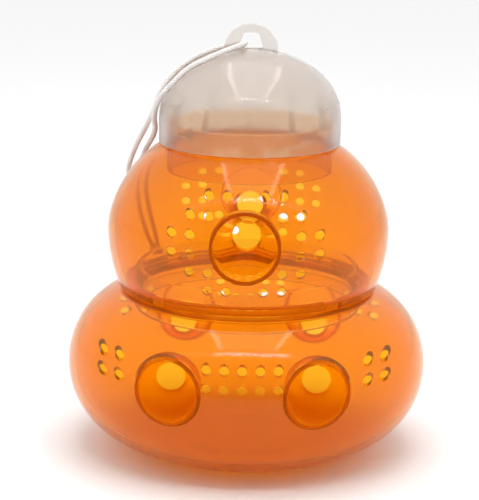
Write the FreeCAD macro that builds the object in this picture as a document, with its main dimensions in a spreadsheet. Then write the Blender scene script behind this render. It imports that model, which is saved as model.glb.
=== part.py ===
"""Two-chamber hanging insect trap, a parametric FreeCAD document in millimetres.

Two clear gourd-shaped chambers stand one on the other. Each is moulded as a front and a
back half that meet on the XZ plane. A collar joins the chambers with a quarter-turn catch,
a neck ring carries the same kind of catch for the lid, and the lid's ring takes the cord.
Origin: centre of the base on the resting surface. +Z is up and the front faces -Y.
"""
import FreeCAD, Part
import math
import os

import Sketcher

from FreeCAD import Placement, Rotation, Vector

DOC = FreeCAD.newDocument("insect_trap")
Z_AXIS = Vector(0, 0, 1)

# Driving sizes: alias, value, what it is.
SIZES = [
    ("chamber_wall", 2.8, "wall of both chambers"),
    ("glue_gap", 0.1, "gap between pieces that are pressed or glued together"),
    ("run_gap", 0.3, "gap between pieces that turn on each other"),
    ("lower_radius", 75.0, "widest radius of the lower chamber"),
    ("lower_equator", 36.8, "height of the lower chamber's widest ring"),
    ("lower_equator_arc", 34.0, "arc at the widest ring, lower chamber"),
    ("lower_belly_arc", 50.0, "arc from there down to the base"),
    ("lower_shoulder_arc", 73.0, "arc from there up to the waist"),
    ("base_radius", 32.0, "flat that the trap stands on"),
    ("waist_radius", 53.4, "radius where the chambers meet"),
    ("waist_level", 69.0, "height where the chambers meet"),
    ("upper_radius", 58.4, "widest radius of the upper chamber"),
    ("upper_equator", 93.2, "height of the upper chamber's widest ring"),
    ("upper_equator_arc", 28.7, "arc at the widest ring, upper chamber"),
    ("upper_belly_arc", 62.5, "arc from there down to the waist"),
    ("upper_shoulder_arc", 49.0, "arc from there up to the neck"),
    ("shoulder_radius", 36.0, "outer edge of the flat round the neck"),
    ("shoulder_level", 129.2, "height of the flat round the neck"),
    ("neck_radius", 33.9, "outside of the neck ring"),
    ("neck_wall", 2.2, "wall of the neck ring"),
    ("neck_top", 137.8, "top of the neck ring"),
    ("neck_foot", 117.5, "lower end of the neck ring, inside the chamber"),
    ("collar_radius", 46.6, "outside of the waist collar"),
    ("collar_wall", 2.2, "wall of the waist collar"),
    ("collar_rise", 8.6, "collar above the waist"),
    ("collar_drop", 9.4, "collar below the waist"),
    ("catch_height", 2.0, "height of every catch lug"),
    ("collar_lug_reach", 1.9, "collar lug, outwards"),
    ("lid_radius", 37.4, "outside of the lid's skirt"),
    ("lid_wall", 1.5, "wall of the lid"),
    ("lid_rim", 129.6, "lower edge of the lid"),
    ("lid_top", 168.0, "top of the dome"),
    ("lid_crown_arc", 46.6, "arc of the dome's crown"),
    ("lid_knuckle_arc", 24.2, "arc between skirt and crown"),
    ("ramp_low", 131.2, "top of each ramp at its low end"),
    ("ramp_rise", 3.8, "rise of each ramp"),
    ("ramp_thick", 1.2, "height of the ramp's section"),
    ("rib_length", 9.0, "vertical ribs in the lid"),
    ("tab_radius", 11.1, "outside arch of the hanging ring"),
    ("tab_thick", 3.0, "thickness of the hanging ring"),
    ("eye_top_half", 3.1, "half width of the ring's hole at the top"),
    ("eye_foot_half", 5.0, "half width of the ring's hole at the bottom"),
    ("eye_height", 6.2, "height of the ring's hole"),
    ("vent_radius", 1.95, "air holes"),
    ("upper_vent_pitch", 7.25, "spacing of the air holes, upper chamber"),
    ("upper_vent_level", 97.8, "centre of the pattern of air holes, upper chamber"),
    ("lower_vent_pitch", 7.0, "spacing of the air holes, lower chamber"),
    ("lower_vent_level", 48.3, "centre of the pattern of air holes, lower chamber"),
    ("funnel_wall", 1.5, "wall of every funnel"),
    ("funnel_lip", 0.6, "how far a funnel's mouth stands proud of the chamber"),
    ("outlet_radius", 5.6, "small end of every funnel"),
    ("upper_mouth_radius", 12.6, "mouth of an upper funnel"),
    ("upper_funnel_level", 97.0, "height of the upper funnels"),
    ("upper_funnel_depth", 28.0, "reach of an upper funnel into the chamber"),
    ("upper_bowl_depth", 7.0, "straight part of an upper funnel"),
    ("lower_mouth_radius", 11.7, "mouth of a lower funnel"),
    ("lower_funnel_level", 41.7, "height of the lower funnels"),
    ("lower_funnel_side", 29.1, "sideways place of the lower funnels"),
    ("lower_funnel_depth", 24.0, "reach of a lower funnel into the chamber"),
    ("lower_bowl_depth", 15.0, "straight part of a lower funnel"),
    ("cord_diameter", 2.4, "hanging cord"),
    ("cord_clearance", 0.5, "gap left under the cord where it lies on the dome"),
    ("knot_radius", 3.6, "knot that joins the cord's ends"),
]

SHEET = DOC.addObject("Spreadsheet::Sheet", "sizes")
for row, (alias, value, note) in enumerate(SIZES, start=1):
    SHEET.set(f"A{row}", note)
    SHEET.set(f"B{row}", str(value))
    SHEET.setAlias(f"B{row}", alias)
DOC.recompute()


def size(alias):
    """A driving size, read back from the sheet."""
    return float(SHEET.get(alias))


# Small shared helpers -------------------------------------------------------------------

def new_body(name):
    body = DOC.addObject("PartDesign::Body", name)
    body.Label = name
    return body


def new_sketch(body, role, name, offset=None):
    """A sketch on one of the body's own origin planes, moved by offset in that plane's frame."""
    sketch = body.newObject("Sketcher::SketchObject", name)
    plane = next(item for item in body.Origin.OriginFeatures if item.Role == role)
    sketch.AttachmentSupport = [(plane, "")]
    sketch.MapMode = "FlatFace"
    if offset is not None:
        sketch.AttachmentOffset = offset
    return sketch


def turned(angle):
    """Offset that turns a sketch on the XZ plane about the Z axis, by degrees."""
    return Placement(Vector(0, 0, 0), Rotation(Vector(0, 1, 0), angle))


def bind(sketch, name, expression):
    """Drive a named constraint from the sheet."""
    sketch.setExpression(f"Constraints.{name}", expression)


def measure(sketch, kind, name, value, *where):
    """Add a named dimension to a sketch."""
    index = sketch.addConstraint(Sketcher.Constraint(kind, *where, value))
    sketch.renameConstraint(index, name)
    return index


def add_rectangle(sketch, left, low, right, high, expressions):
    """A rectangle whose four sides are driven; expressions give left, low, right and high."""
    corners = [Vector(left, low, 0), Vector(right, low, 0), Vector(right, high, 0), Vector(left, high, 0)]
    first = sketch.GeometryCount
    for start, end in zip(corners, corners[1:] + corners[:1]):
        sketch.addGeometry(Part.LineSegment(start, end), False)
    for side in range(4):
        sketch.addConstraint(Sketcher.Constraint("Coincident", first + side, 2, first + (side + 1) % 4, 1))
    for side, direction in enumerate(("Horizontal", "Vertical", "Horizontal", "Vertical")):
        sketch.addConstraint(Sketcher.Constraint(direction, first + side))
    places = (("DistanceX", 1, left), ("DistanceY", 1, low), ("DistanceX", 3, right), ("DistanceY", 3, high))
    for (kind, corner, value), label, expression in zip(places, ("left", "low", "right", "high"), expressions):
        edge, point = (first, 1) if corner == 1 else (first + 1, 2)
        measure(sketch, kind, f"{label}{first}", value, -1, 1, edge, point)
        bind(sketch, f"{label}{first}", expression)


def revolve(body, sketch, name, angle=360.0, midplane=False, reverse=False, cut=False):
    """Turn a sketch on the XZ plane about the Z axis, adding or cutting."""
    kind = "PartDesign::Groove" if cut else "PartDesign::Revolution"
    feature = body.newObject(kind, name)
    feature.Profile = sketch
    feature.ReferenceAxis = (sketch, ["V_Axis"])
    feature.Angle = angle
    feature.Midplane = midplane
    feature.Reversed = reverse
    sketch.Visibility = False
    DOC.recompute()
    return feature


def ring_pattern(body, feature, name, count, sweep=360.0):
    """Repeat a feature about the Z axis."""
    pattern = body.newObject("PartDesign::PolarPattern", name)
    pattern.Originals = [feature]
    axis = next(item for item in body.Origin.OriginFeatures if item.Role == "Z_Axis")
    pattern.Axis = (axis, [""])
    pattern.Angle = sweep
    pattern.Occurrences = count
    body.Tip = pattern
    DOC.recompute()
    return pattern


# Chamber outlines -----------------------------------------------------------------------

def tangent_centre(near, near_radius, point, far_radius, upward):
    """Centre of the arc of far_radius that touches the circle at near from outside and ends at point."""
    apart = point - near
    reach = far_radius - near_radius
    along = (reach ** 2 - far_radius ** 2 + apart.Length ** 2) / (2 * apart.Length)
    across = math.sqrt(reach ** 2 - along ** 2)
    unit = Vector(apart).normalize()
    side = Vector(-unit.y, unit.x, 0)
    centres = [near + unit * along + side * across * sign for sign in (1, -1)]
    return min(centres, key=lambda centre: centre.x + (centre.y if upward else -centre.y))


def arc(centre, radius, start, end):
    """Counter-clockwise arc about centre, from the direction of start to that of end."""
    first = math.atan2(start.y - centre.y, start.x - centre.x)
    last = math.atan2(end.y - centre.y, end.x - centre.x)
    return Part.ArcOfCircle(Part.Circle(centre, Vector(0, 0, 1), radius), first, last)


class Outline:
    """The outer side of a chamber: a belly arc, the arc at the widest ring and a shoulder arc."""

    def __init__(self, prefix, foot, top):
        self.prefix = prefix
        self.equator_arc = size(f"{prefix}_equator_arc")
        self.belly_arc = size(f"{prefix}_belly_arc")
        self.shoulder_arc = size(f"{prefix}_shoulder_arc")
        self.foot = foot
        self.top = top
        self.middle = Vector(size(f"{prefix}_radius") - self.equator_arc, size(f"{prefix}_equator"), 0)
        self.low = tangent_centre(self.middle, self.equator_arc, foot, self.belly_arc, False)
        self.high = tangent_centre(self.middle, self.equator_arc, top, self.shoulder_arc, True)

    def arcs(self, inset):
        """The three arcs, moved into the wall by inset, from the lowest to the highest."""
        radius = self.equator_arc - inset
        join_low = self.middle + (self.middle - self.low).normalize() * radius
        join_high = self.middle + (self.middle - self.high).normalize() * radius
        return [
            (self.low, self.belly_arc - inset, None, join_low),
            (self.middle, radius, join_low, join_high),
            (self.high, self.shoulder_arc - inset, join_high, None),
        ]

    def end_at_height(self, centre, radius, height):
        return Vector(centre.x + math.sqrt(radius ** 2 - (height - centre.y) ** 2), height, 0)

    def end_at_radius(self, centre, radius, reach, upward):
        rise = math.sqrt(radius ** 2 - (reach - centre.x) ** 2)
        return Vector(reach, centre.y + (rise if upward else -rise), 0)


def add_loop(sketch, pieces):
    """Add a closed loop of lines and arcs and join them; returns (index, entry, exit) of each piece.

    A piece is ("line", start, end) or ("arc", centre, radius, low, high, upward), in order.
    """
    ends = []
    for piece in pieces:
        if piece[0] == "line":
            index = sketch.addGeometry(Part.LineSegment(piece[1], piece[2]), False)
            ends.append((index, 1, 2))
            flat = abs(piece[1].y - piece[2].y) < 1e-9
            sketch.addConstraint(Sketcher.Constraint("Horizontal" if flat else "Vertical", index))
        else:
            _, centre, radius, low, high, upward = piece
            index = sketch.addGeometry(arc(centre, radius, low, high), False)
            ends.append((index, 1, 2) if upward else (index, 2, 1))
    for number, (index, _, leave) in enumerate(ends):
        following, enter, _ = ends[(number + 1) % len(ends)]
        both = pieces[number][0] == "arc" and pieces[(number + 1) % len(pieces)][0] == "arc"
        sketch.addConstraint(Sketcher.Constraint("Tangent" if both else "Coincident",
                                                 index, leave, following, enter))
    return ends


def chamber_sketch(body, outline, foot_hole, top_hole, closed_foot):
    """Half section of a chamber's wall; the holes are (radius, expression) pairs."""
    prefix = outline.prefix
    wall = size("chamber_wall")
    outer = outline.arcs(0.0)
    inner = outline.arcs(wall)
    foot, top = outline.foot, outline.top
    top_radius = top_hole[0]
    low_inside = outline.end_at_height(inner[0][0], inner[0][1], foot.y + wall)
    if closed_foot:
        high_inside = outline.end_at_height(inner[2][0], inner[2][1], top.y - wall)
        ledge = [("line", Vector(top_radius, top.y, 0), Vector(top_radius, high_inside.y, 0)),
                 ("line", Vector(top_radius, high_inside.y, 0), high_inside)]
    else:
        high_inside = outline.end_at_radius(inner[2][0], inner[2][1], top_radius, True)
        ledge = [("line", Vector(top_radius, top.y, 0), high_inside)]
    bore = 0.0 if closed_foot else foot_hole[0]
    pieces = [("line", Vector(bore, foot.y, 0), foot),
              ("arc", outer[0][0], outer[0][1], foot, outer[0][3], True),
              ("arc", outer[1][0], outer[1][1], outer[1][2], outer[1][3], True),
              ("arc", outer[2][0], outer[2][1], outer[2][2], top, True),
              ("line", top, Vector(top_radius, top.y, 0))]
    pieces += ledge
    pieces += [("arc", inner[2][0], inner[2][1], inner[2][2], high_inside, False),
               ("arc", inner[1][0], inner[1][1], inner[1][2], inner[1][3], False),
               ("arc", inner[0][0], inner[0][1], low_inside, inner[0][3], False),
               ("line", low_inside, Vector(bore, low_inside.y, 0)),
               ("line", Vector(bore, low_inside.y, 0), Vector(bore, foot.y, 0))]
    sketch = new_sketch(body, "XZ_Plane", f"{body.Name}_section")
    ends = add_loop(sketch, pieces)
    base, belly, equator, shoulder, rim = (end[0] for end in ends[:5])
    inner_shoulder, inner_equator, inner_belly = (ends[number][0] for number in (-5, -4, -3))
    floor, closing = ends[-2][0], ends[-1][0]

    measure(sketch, "Radius", "belly", outer[0][1], belly)
    bind(sketch, "belly", f"sizes.{prefix}_belly_arc")
    measure(sketch, "Radius", "equator", outer[1][1], equator)
    bind(sketch, "equator", f"sizes.{prefix}_equator_arc")
    measure(sketch, "Radius", "shoulder", outer[2][1], shoulder)
    bind(sketch, "shoulder", f"sizes.{prefix}_shoulder_arc")
    measure(sketch, "DistanceX", "middle_x", outer[1][0].x, -1, 1, equator, 3)
    bind(sketch, "middle_x", f"sizes.{prefix}_radius - sizes.{prefix}_equator_arc")
    measure(sketch, "DistanceY", "middle_z", outer[1][0].y, -1, 1, equator, 3)
    bind(sketch, "middle_z", f"sizes.{prefix}_equator")
    measure(sketch, "DistanceX", "foot_x", foot.x, -1, 1, belly, 1)
    measure(sketch, "DistanceX", "top_x", top.x, -1, 1, shoulder, 2)
    measure(sketch, "DistanceY", "top_z", top.y, -1, 1, shoulder, 2)
    measure(sketch, "DistanceX", "top_hole", top_radius, -1, 1, rim, 2)
    bind(sketch, "top_hole", top_hole[1])
    for thick, skin in ((belly, inner_belly), (equator, inner_equator), (shoulder, inner_shoulder)):
        sketch.addConstraint(Sketcher.Constraint("Coincident", thick, 3, skin, 3))
    measure(sketch, "Radius", "inner_equator", inner[1][1], inner_equator)
    bind(sketch, "inner_equator", f"sizes.{prefix}_equator_arc - sizes.chamber_wall")
    measure(sketch, "DistanceY", "floor_wall", wall, closing, 2, closing, 1)
    bind(sketch, "floor_wall", "sizes.chamber_wall")
    if closed_foot:
        sketch.addConstraint(Sketcher.Constraint("Coincident", base, 1, -1, 1))
        bind(sketch, "foot_x", "sizes.base_radius")
        bind(sketch, "top_x", "sizes.waist_radius")
        bind(sketch, "top_z", "sizes.waist_level")
        drop = ends[5][0]
        measure(sketch, "DistanceY", "ledge_wall", wall, drop, 2, drop, 1)
        bind(sketch, "ledge_wall", "sizes.chamber_wall")
    else:
        measure(sketch, "DistanceX", "foot_hole", bore, -1, 1, base, 1)
        bind(sketch, "foot_hole", foot_hole[1])
        measure(sketch, "DistanceY", "foot_z", foot.y, -1, 1, belly, 1)
        bind(sketch, "foot_z", "sizes.waist_level + sizes.glue_gap")
        bind(sketch, "foot_x", "sizes.waist_radius")
        bind(sketch, "top_x", "sizes.shoulder_radius")
        bind(sketch, "top_z", "sizes.shoulder_level")
    return sketch


def add_circle(sketch, name, across, level, radius, expressions):
    """A circle at (across, level); expressions give across, level and radius."""
    index = sketch.addGeometry(Part.Circle(Vector(across, level, 0), Vector(0, 0, 1), radius), False)
    measure(sketch, "Radius", f"{name}_radius", radius, index)
    bind(sketch, f"{name}_radius", expressions[2])
    if across:
        measure(sketch, "DistanceX", f"{name}_across", across, -1, 1, index, 3)
        bind(sketch, f"{name}_across", expressions[0])
    else:
        sketch.addConstraint(Sketcher.Constraint("PointOnObject", index, 3, -2))
    measure(sketch, "DistanceY", f"{name}_level", level, -1, 1, index, 3)
    bind(sketch, f"{name}_level", expressions[1])


def cut_forward(body, sketch, name):
    """Cut a sketch on the XZ plane through everything in front of it."""
    before = body.Shape.Volume
    pocket = body.newObject("PartDesign::Pocket", name)
    pocket.Profile = sketch
    pocket.Type = "ThroughAll"
    pocket.Reversed = True
    sketch.Visibility = False
    DOC.recompute()
    if not body.Shape.Volume < before - 1.0:
        raise RuntimeError(f"{name} cuts nothing")
    return pocket


def vent_holes(body, prefix, places):
    """Air holes of one half, at whole or half steps of the pattern's pitch."""
    pitch = size(f"{prefix}_vent_pitch")
    level = size(f"{prefix}_vent_level")
    sketch = new_sketch(body, "XZ_Plane", f"{body.Name}_vents")
    for number, (column, step) in enumerate(places):
        add_circle(sketch, f"vent{number}", column * pitch, level + step * pitch, size("vent_radius"),
                   (f"{column} * sizes.{prefix}_vent_pitch",
                    f"sizes.{prefix}_vent_level + {step} * sizes.{prefix}_vent_pitch",
                    "sizes.vent_radius"))
    cut_forward(body, sketch, f"{body.Name}_vent_holes")


def funnel_holes(body, prefix, sides):
    """Round holes that the funnels are pressed into."""
    sketch = new_sketch(body, "XZ_Plane", f"{body.Name}_mouths")
    radius = size(f"{prefix}_mouth_radius") + size("funnel_wall") + size("glue_gap")
    for number, side in enumerate(sides):
        across = side * size("lower_funnel_side")
        add_circle(sketch, f"mouth{number}", across, size(f"{prefix}_funnel_level"), radius,
                   (f"{side} * sizes.lower_funnel_side", f"sizes.{prefix}_funnel_level",
                    f"sizes.{prefix}_mouth_radius + sizes.funnel_wall + sizes.glue_gap"))
    cut_forward(body, sketch, f"{body.Name}_mouth_holes")


# Catch angles, in degrees from the front, counter-clockwise seen from above.
RAMP_START = 9.0
RAMP_SWEEP = 40.0
STOP_SWEEP = 3.0
LUG_SWEEP = 8.0
LUG_PLAY = 0.5
CATCHES = 4
COLLAR_NOTCH = 45.0
COLLAR_TURN = 30.0
FRONT = -90.0

LOWER_OUTLINE = Outline("lower", Vector(size("base_radius"), 0, 0),
                        Vector(size("waist_radius"), size("waist_level"), 0))
UPPER_OUTLINE = Outline("upper", Vector(size("waist_radius"), size("waist_level") + size("glue_gap"), 0),
                        Vector(size("shoulder_radius"), size("shoulder_level"), 0))

# Air holes, in steps of the pitch from the middle of each pattern: (column, row).
UPPER_VENTS = [(sign * column, row)
               for row, columns in ((2.5, (1, 2)), (1.5, (2, 3)), (0.5, (3, 4)),
                                    (-0.5, (3, 4)), (-1.5, (2, 3)), (-2.5, (1, 2)))
               for column in columns for sign in (-1, 1)]
LOWER_VENTS = [(column, row) for row in (0.5, -0.5) for column in (-8, -7, -2, -1, 0, 1, 2, 7, 8)]


def make_lower_half(name, back):
    body = new_body(name)
    hole = size("collar_radius") + size("glue_gap")
    sketch = chamber_sketch(body, LOWER_OUTLINE, None, (hole, "sizes.collar_radius + sizes.glue_gap"), True)
    revolve(body, sketch, f"{name}_wall", 180.0, reverse=True)
    vent_holes(body, "lower", LOWER_VENTS)
    funnel_holes(body, "lower", (-1, 1))
    body.Placement = Placement(Vector(0, 0, 0), Rotation(Z_AXIS, 180.0 if back else 0.0))
    return body


def make_upper_half(name, back):
    body = new_body(name)
    bore = size("collar_radius") + size("run_gap")
    neck_hole = size("neck_radius") + size("glue_gap")
    sketch = chamber_sketch(body, UPPER_OUTLINE, (bore, "sizes.collar_radius + sizes.run_gap"),
                            (neck_hole, "sizes.neck_radius + sizes.glue_gap"), False)
    revolve(body, sketch, f"{name}_wall", 180.0, reverse=True)
    vent_holes(body, "upper", UPPER_VENTS)
    funnel_holes(body, "upper", (0,))
    notch = new_sketch(body, "XZ_Plane", f"{name}_notch", turned(FRONT - COLLAR_NOTCH))
    low = size("waist_level") - size("catch_height")
    high = size("waist_level") + size("chamber_wall") + size("catch_height")
    reach = size("collar_radius") + size("collar_lug_reach") + size("run_gap")
    inside = size("collar_radius") - size("collar_wall")
    add_rectangle(notch, inside, low, reach, high,
                  ("sizes.collar_radius - sizes.collar_wall",
                   "sizes.waist_level - sizes.catch_height",
                   "sizes.collar_radius + sizes.collar_lug_reach + sizes.run_gap",
                   "sizes.waist_level + sizes.chamber_wall + sizes.catch_height"))
    before = body.Shape.Volume
    groove = revolve(body, notch, f"{name}_notch_cut", LUG_SWEEP + 2.0, midplane=True, cut=True)
    ring_pattern(body, groove, f"{name}_notches", 2, 90.0)
    if not body.Shape.Volume < before - 10.0:
        raise RuntimeError(f"{name}: the notches cut nothing")
    body.Placement = Placement(Vector(0, 0, 0), Rotation(Z_AXIS, 180.0 if back else 0.0))
    return body


def make_waist_collar():
    body = new_body("waist_collar")
    inside, outside = "sizes.collar_radius - sizes.collar_wall", "sizes.collar_radius"
    tube = new_sketch(body, "XZ_Plane", "collar_tube")
    waist = size("waist_level")
    add_rectangle(tube, size("collar_radius") - size("collar_wall"), waist - size("collar_drop"),
                  size("collar_radius"), waist + size("collar_rise"),
                  (inside, "sizes.waist_level - sizes.collar_drop", outside,
                   "sizes.waist_level + sizes.collar_rise"))
    revolve(body, tube, "collar_wall")
    flange = new_sketch(body, "XZ_Plane", "collar_flange_section")
    seat = waist - size("chamber_wall") - size("glue_gap")
    reach = size("collar_radius") + size("collar_lug_reach")
    middle = size("collar_radius") - size("collar_wall") / 2
    add_rectangle(flange, middle, seat - size("catch_height"), reach, seat,
                  ("sizes.collar_radius - sizes.collar_wall / 2",
                   "sizes.waist_level - sizes.chamber_wall - sizes.glue_gap - sizes.catch_height",
                   "sizes.collar_radius + sizes.collar_lug_reach",
                   "sizes.waist_level - sizes.chamber_wall - sizes.glue_gap"))
    revolve(body, flange, "collar_flange")
    lug = new_sketch(body, "XZ_Plane", "collar_lug_section", turned(FRONT - COLLAR_NOTCH + COLLAR_TURN))
    low = waist + size("glue_gap") + size("chamber_wall") + size("run_gap")
    add_rectangle(lug, middle, low, reach, low + size("catch_height"),
                  ("sizes.collar_radius - sizes.collar_wall / 2",
                   "sizes.waist_level + sizes.glue_gap + sizes.chamber_wall + sizes.run_gap",
                   "sizes.collar_radius + sizes.collar_lug_reach",
                   "sizes.waist_level + sizes.glue_gap + sizes.chamber_wall + sizes.run_gap"
                   " + sizes.catch_height"))
    feature = revolve(body, lug, "collar_lug", LUG_SWEEP, midplane=True)
    ring_pattern(body, feature, "collar_lugs", CATCHES)
    return body


def lug_floor():
    """Height of the neck lug's underside: just above the ramp at the lug's far edge."""
    share = (RAMP_SWEEP - STOP_SWEEP - LUG_PLAY) / RAMP_SWEEP
    return size("ramp_low") + size("ramp_rise") * share + size("run_gap")


def make_neck_ring():
    body = new_body("neck_ring")
    tube = new_sketch(body, "XZ_Plane", "neck_tube")
    add_rectangle(tube, size("neck_radius") - size("neck_wall"), size("neck_foot"),
                  size("neck_radius"), size("neck_top"),
                  ("sizes.neck_radius - sizes.neck_wall", "sizes.neck_foot",
                   "sizes.neck_radius", "sizes.neck_top"))
    revolve(body, tube, "neck_wall")
    share = (RAMP_SWEEP - STOP_SWEEP - LUG_PLAY) / RAMP_SWEEP
    middle = RAMP_START + RAMP_SWEEP - STOP_SWEEP - LUG_PLAY - LUG_SWEEP / 2
    lug = new_sketch(body, "XZ_Plane", "neck_lug_section", turned(FRONT + middle))
    floor_text = f"sizes.ramp_low + sizes.ramp_rise * {share} + sizes.run_gap"
    add_rectangle(lug, size("neck_radius") - size("neck_wall") / 2, lug_floor(),
                  size("lid_radius") - size("lid_wall") - size("run_gap"), lug_floor() + size("catch_height"),
                  ("sizes.neck_radius - sizes.neck_wall / 2", floor_text,
                   "sizes.lid_radius - sizes.lid_wall - sizes.run_gap",
                   floor_text + " + sizes.catch_height"))
    feature = revolve(body, lug, "neck_lug", LUG_SWEEP, midplane=True)
    ring_pattern(body, feature, "neck_lugs", CATCHES)
    return body


def dome_sketch(body, name, inset):
    """Half section of the dome, solid to the axis; inset is 0 outside or the wall inside."""
    wall = size("lid_wall") * inset
    shell = f" - {inset} * sizes.lid_wall"
    radius = size("lid_radius") - wall
    knuckle = size("lid_knuckle_arc") - wall
    crown = size("lid_crown_arc") - wall
    top = size("lid_top") - wall
    rim = size("lid_rim")
    crown_centre = Vector(0, top - crown, 0)
    across = radius - knuckle
    knuckle_centre = Vector(across, crown_centre.y + math.sqrt((crown - knuckle) ** 2 - across ** 2), 0)
    join = knuckle_centre + (knuckle_centre - crown_centre).normalize() * knuckle
    side = Vector(radius, knuckle_centre.y, 0)
    pieces = [("line", Vector(0, rim, 0), Vector(radius, rim, 0)),
              ("line", Vector(radius, rim, 0), side),
              ("arc", knuckle_centre, knuckle, side, join, True),
              ("arc", crown_centre, crown, join, Vector(0, top, 0), True),
              ("line", Vector(0, top, 0), Vector(0, rim, 0))]
    sketch = new_sketch(body, "XZ_Plane", name)
    for piece in pieces:
        if piece[0] == "line":
            sketch.addGeometry(Part.LineSegment(piece[1], piece[2]), False)
        else:
            sketch.addGeometry(arc(piece[1], piece[2], piece[3], piece[4]), False)
    joints = ["Coincident", "Tangent", "Tangent", "Coincident", "Coincident"]
    for number, joint in enumerate(joints):
        sketch.addConstraint(Sketcher.Constraint(joint, number, 2, (number + 1) % len(pieces), 1))
    sketch.addConstraint(Sketcher.Constraint("Horizontal", 0))
    sketch.addConstraint(Sketcher.Constraint("Vertical", 1))
    sketch.addConstraint(Sketcher.Constraint("PointOnObject", 0, 1, -2))
    sketch.addConstraint(Sketcher.Constraint("PointOnObject", 3, 2, -2))
    sketch.addConstraint(Sketcher.Constraint("PointOnObject", 3, 3, -2))
    measure(sketch, "Radius", "knuckle", knuckle, 2)
    bind(sketch, "knuckle", "sizes.lid_knuckle_arc" + shell)
    measure(sketch, "Radius", "crown", crown, 3)
    bind(sketch, "crown", "sizes.lid_crown_arc" + shell)
    measure(sketch, "DistanceX", "radius", radius, -1, 1, 0, 2)
    bind(sketch, "radius", "sizes.lid_radius" + shell)
    measure(sketch, "DistanceY", "rim", rim, -1, 1, 0, 2)
    bind(sketch, "rim", "sizes.lid_rim")
    measure(sketch, "DistanceY", "top", top, -1, 1, 3, 2)
    bind(sketch, "top", "sizes.lid_top" + shell)
    return sketch


def add_polygon(sketch, points):
    """A closed outline through given points, fixed as drawn."""
    for start, end in zip(points, points[1:] + points[:1]):
        sketch.addGeometry(Part.LineSegment(start, end), False)


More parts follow.
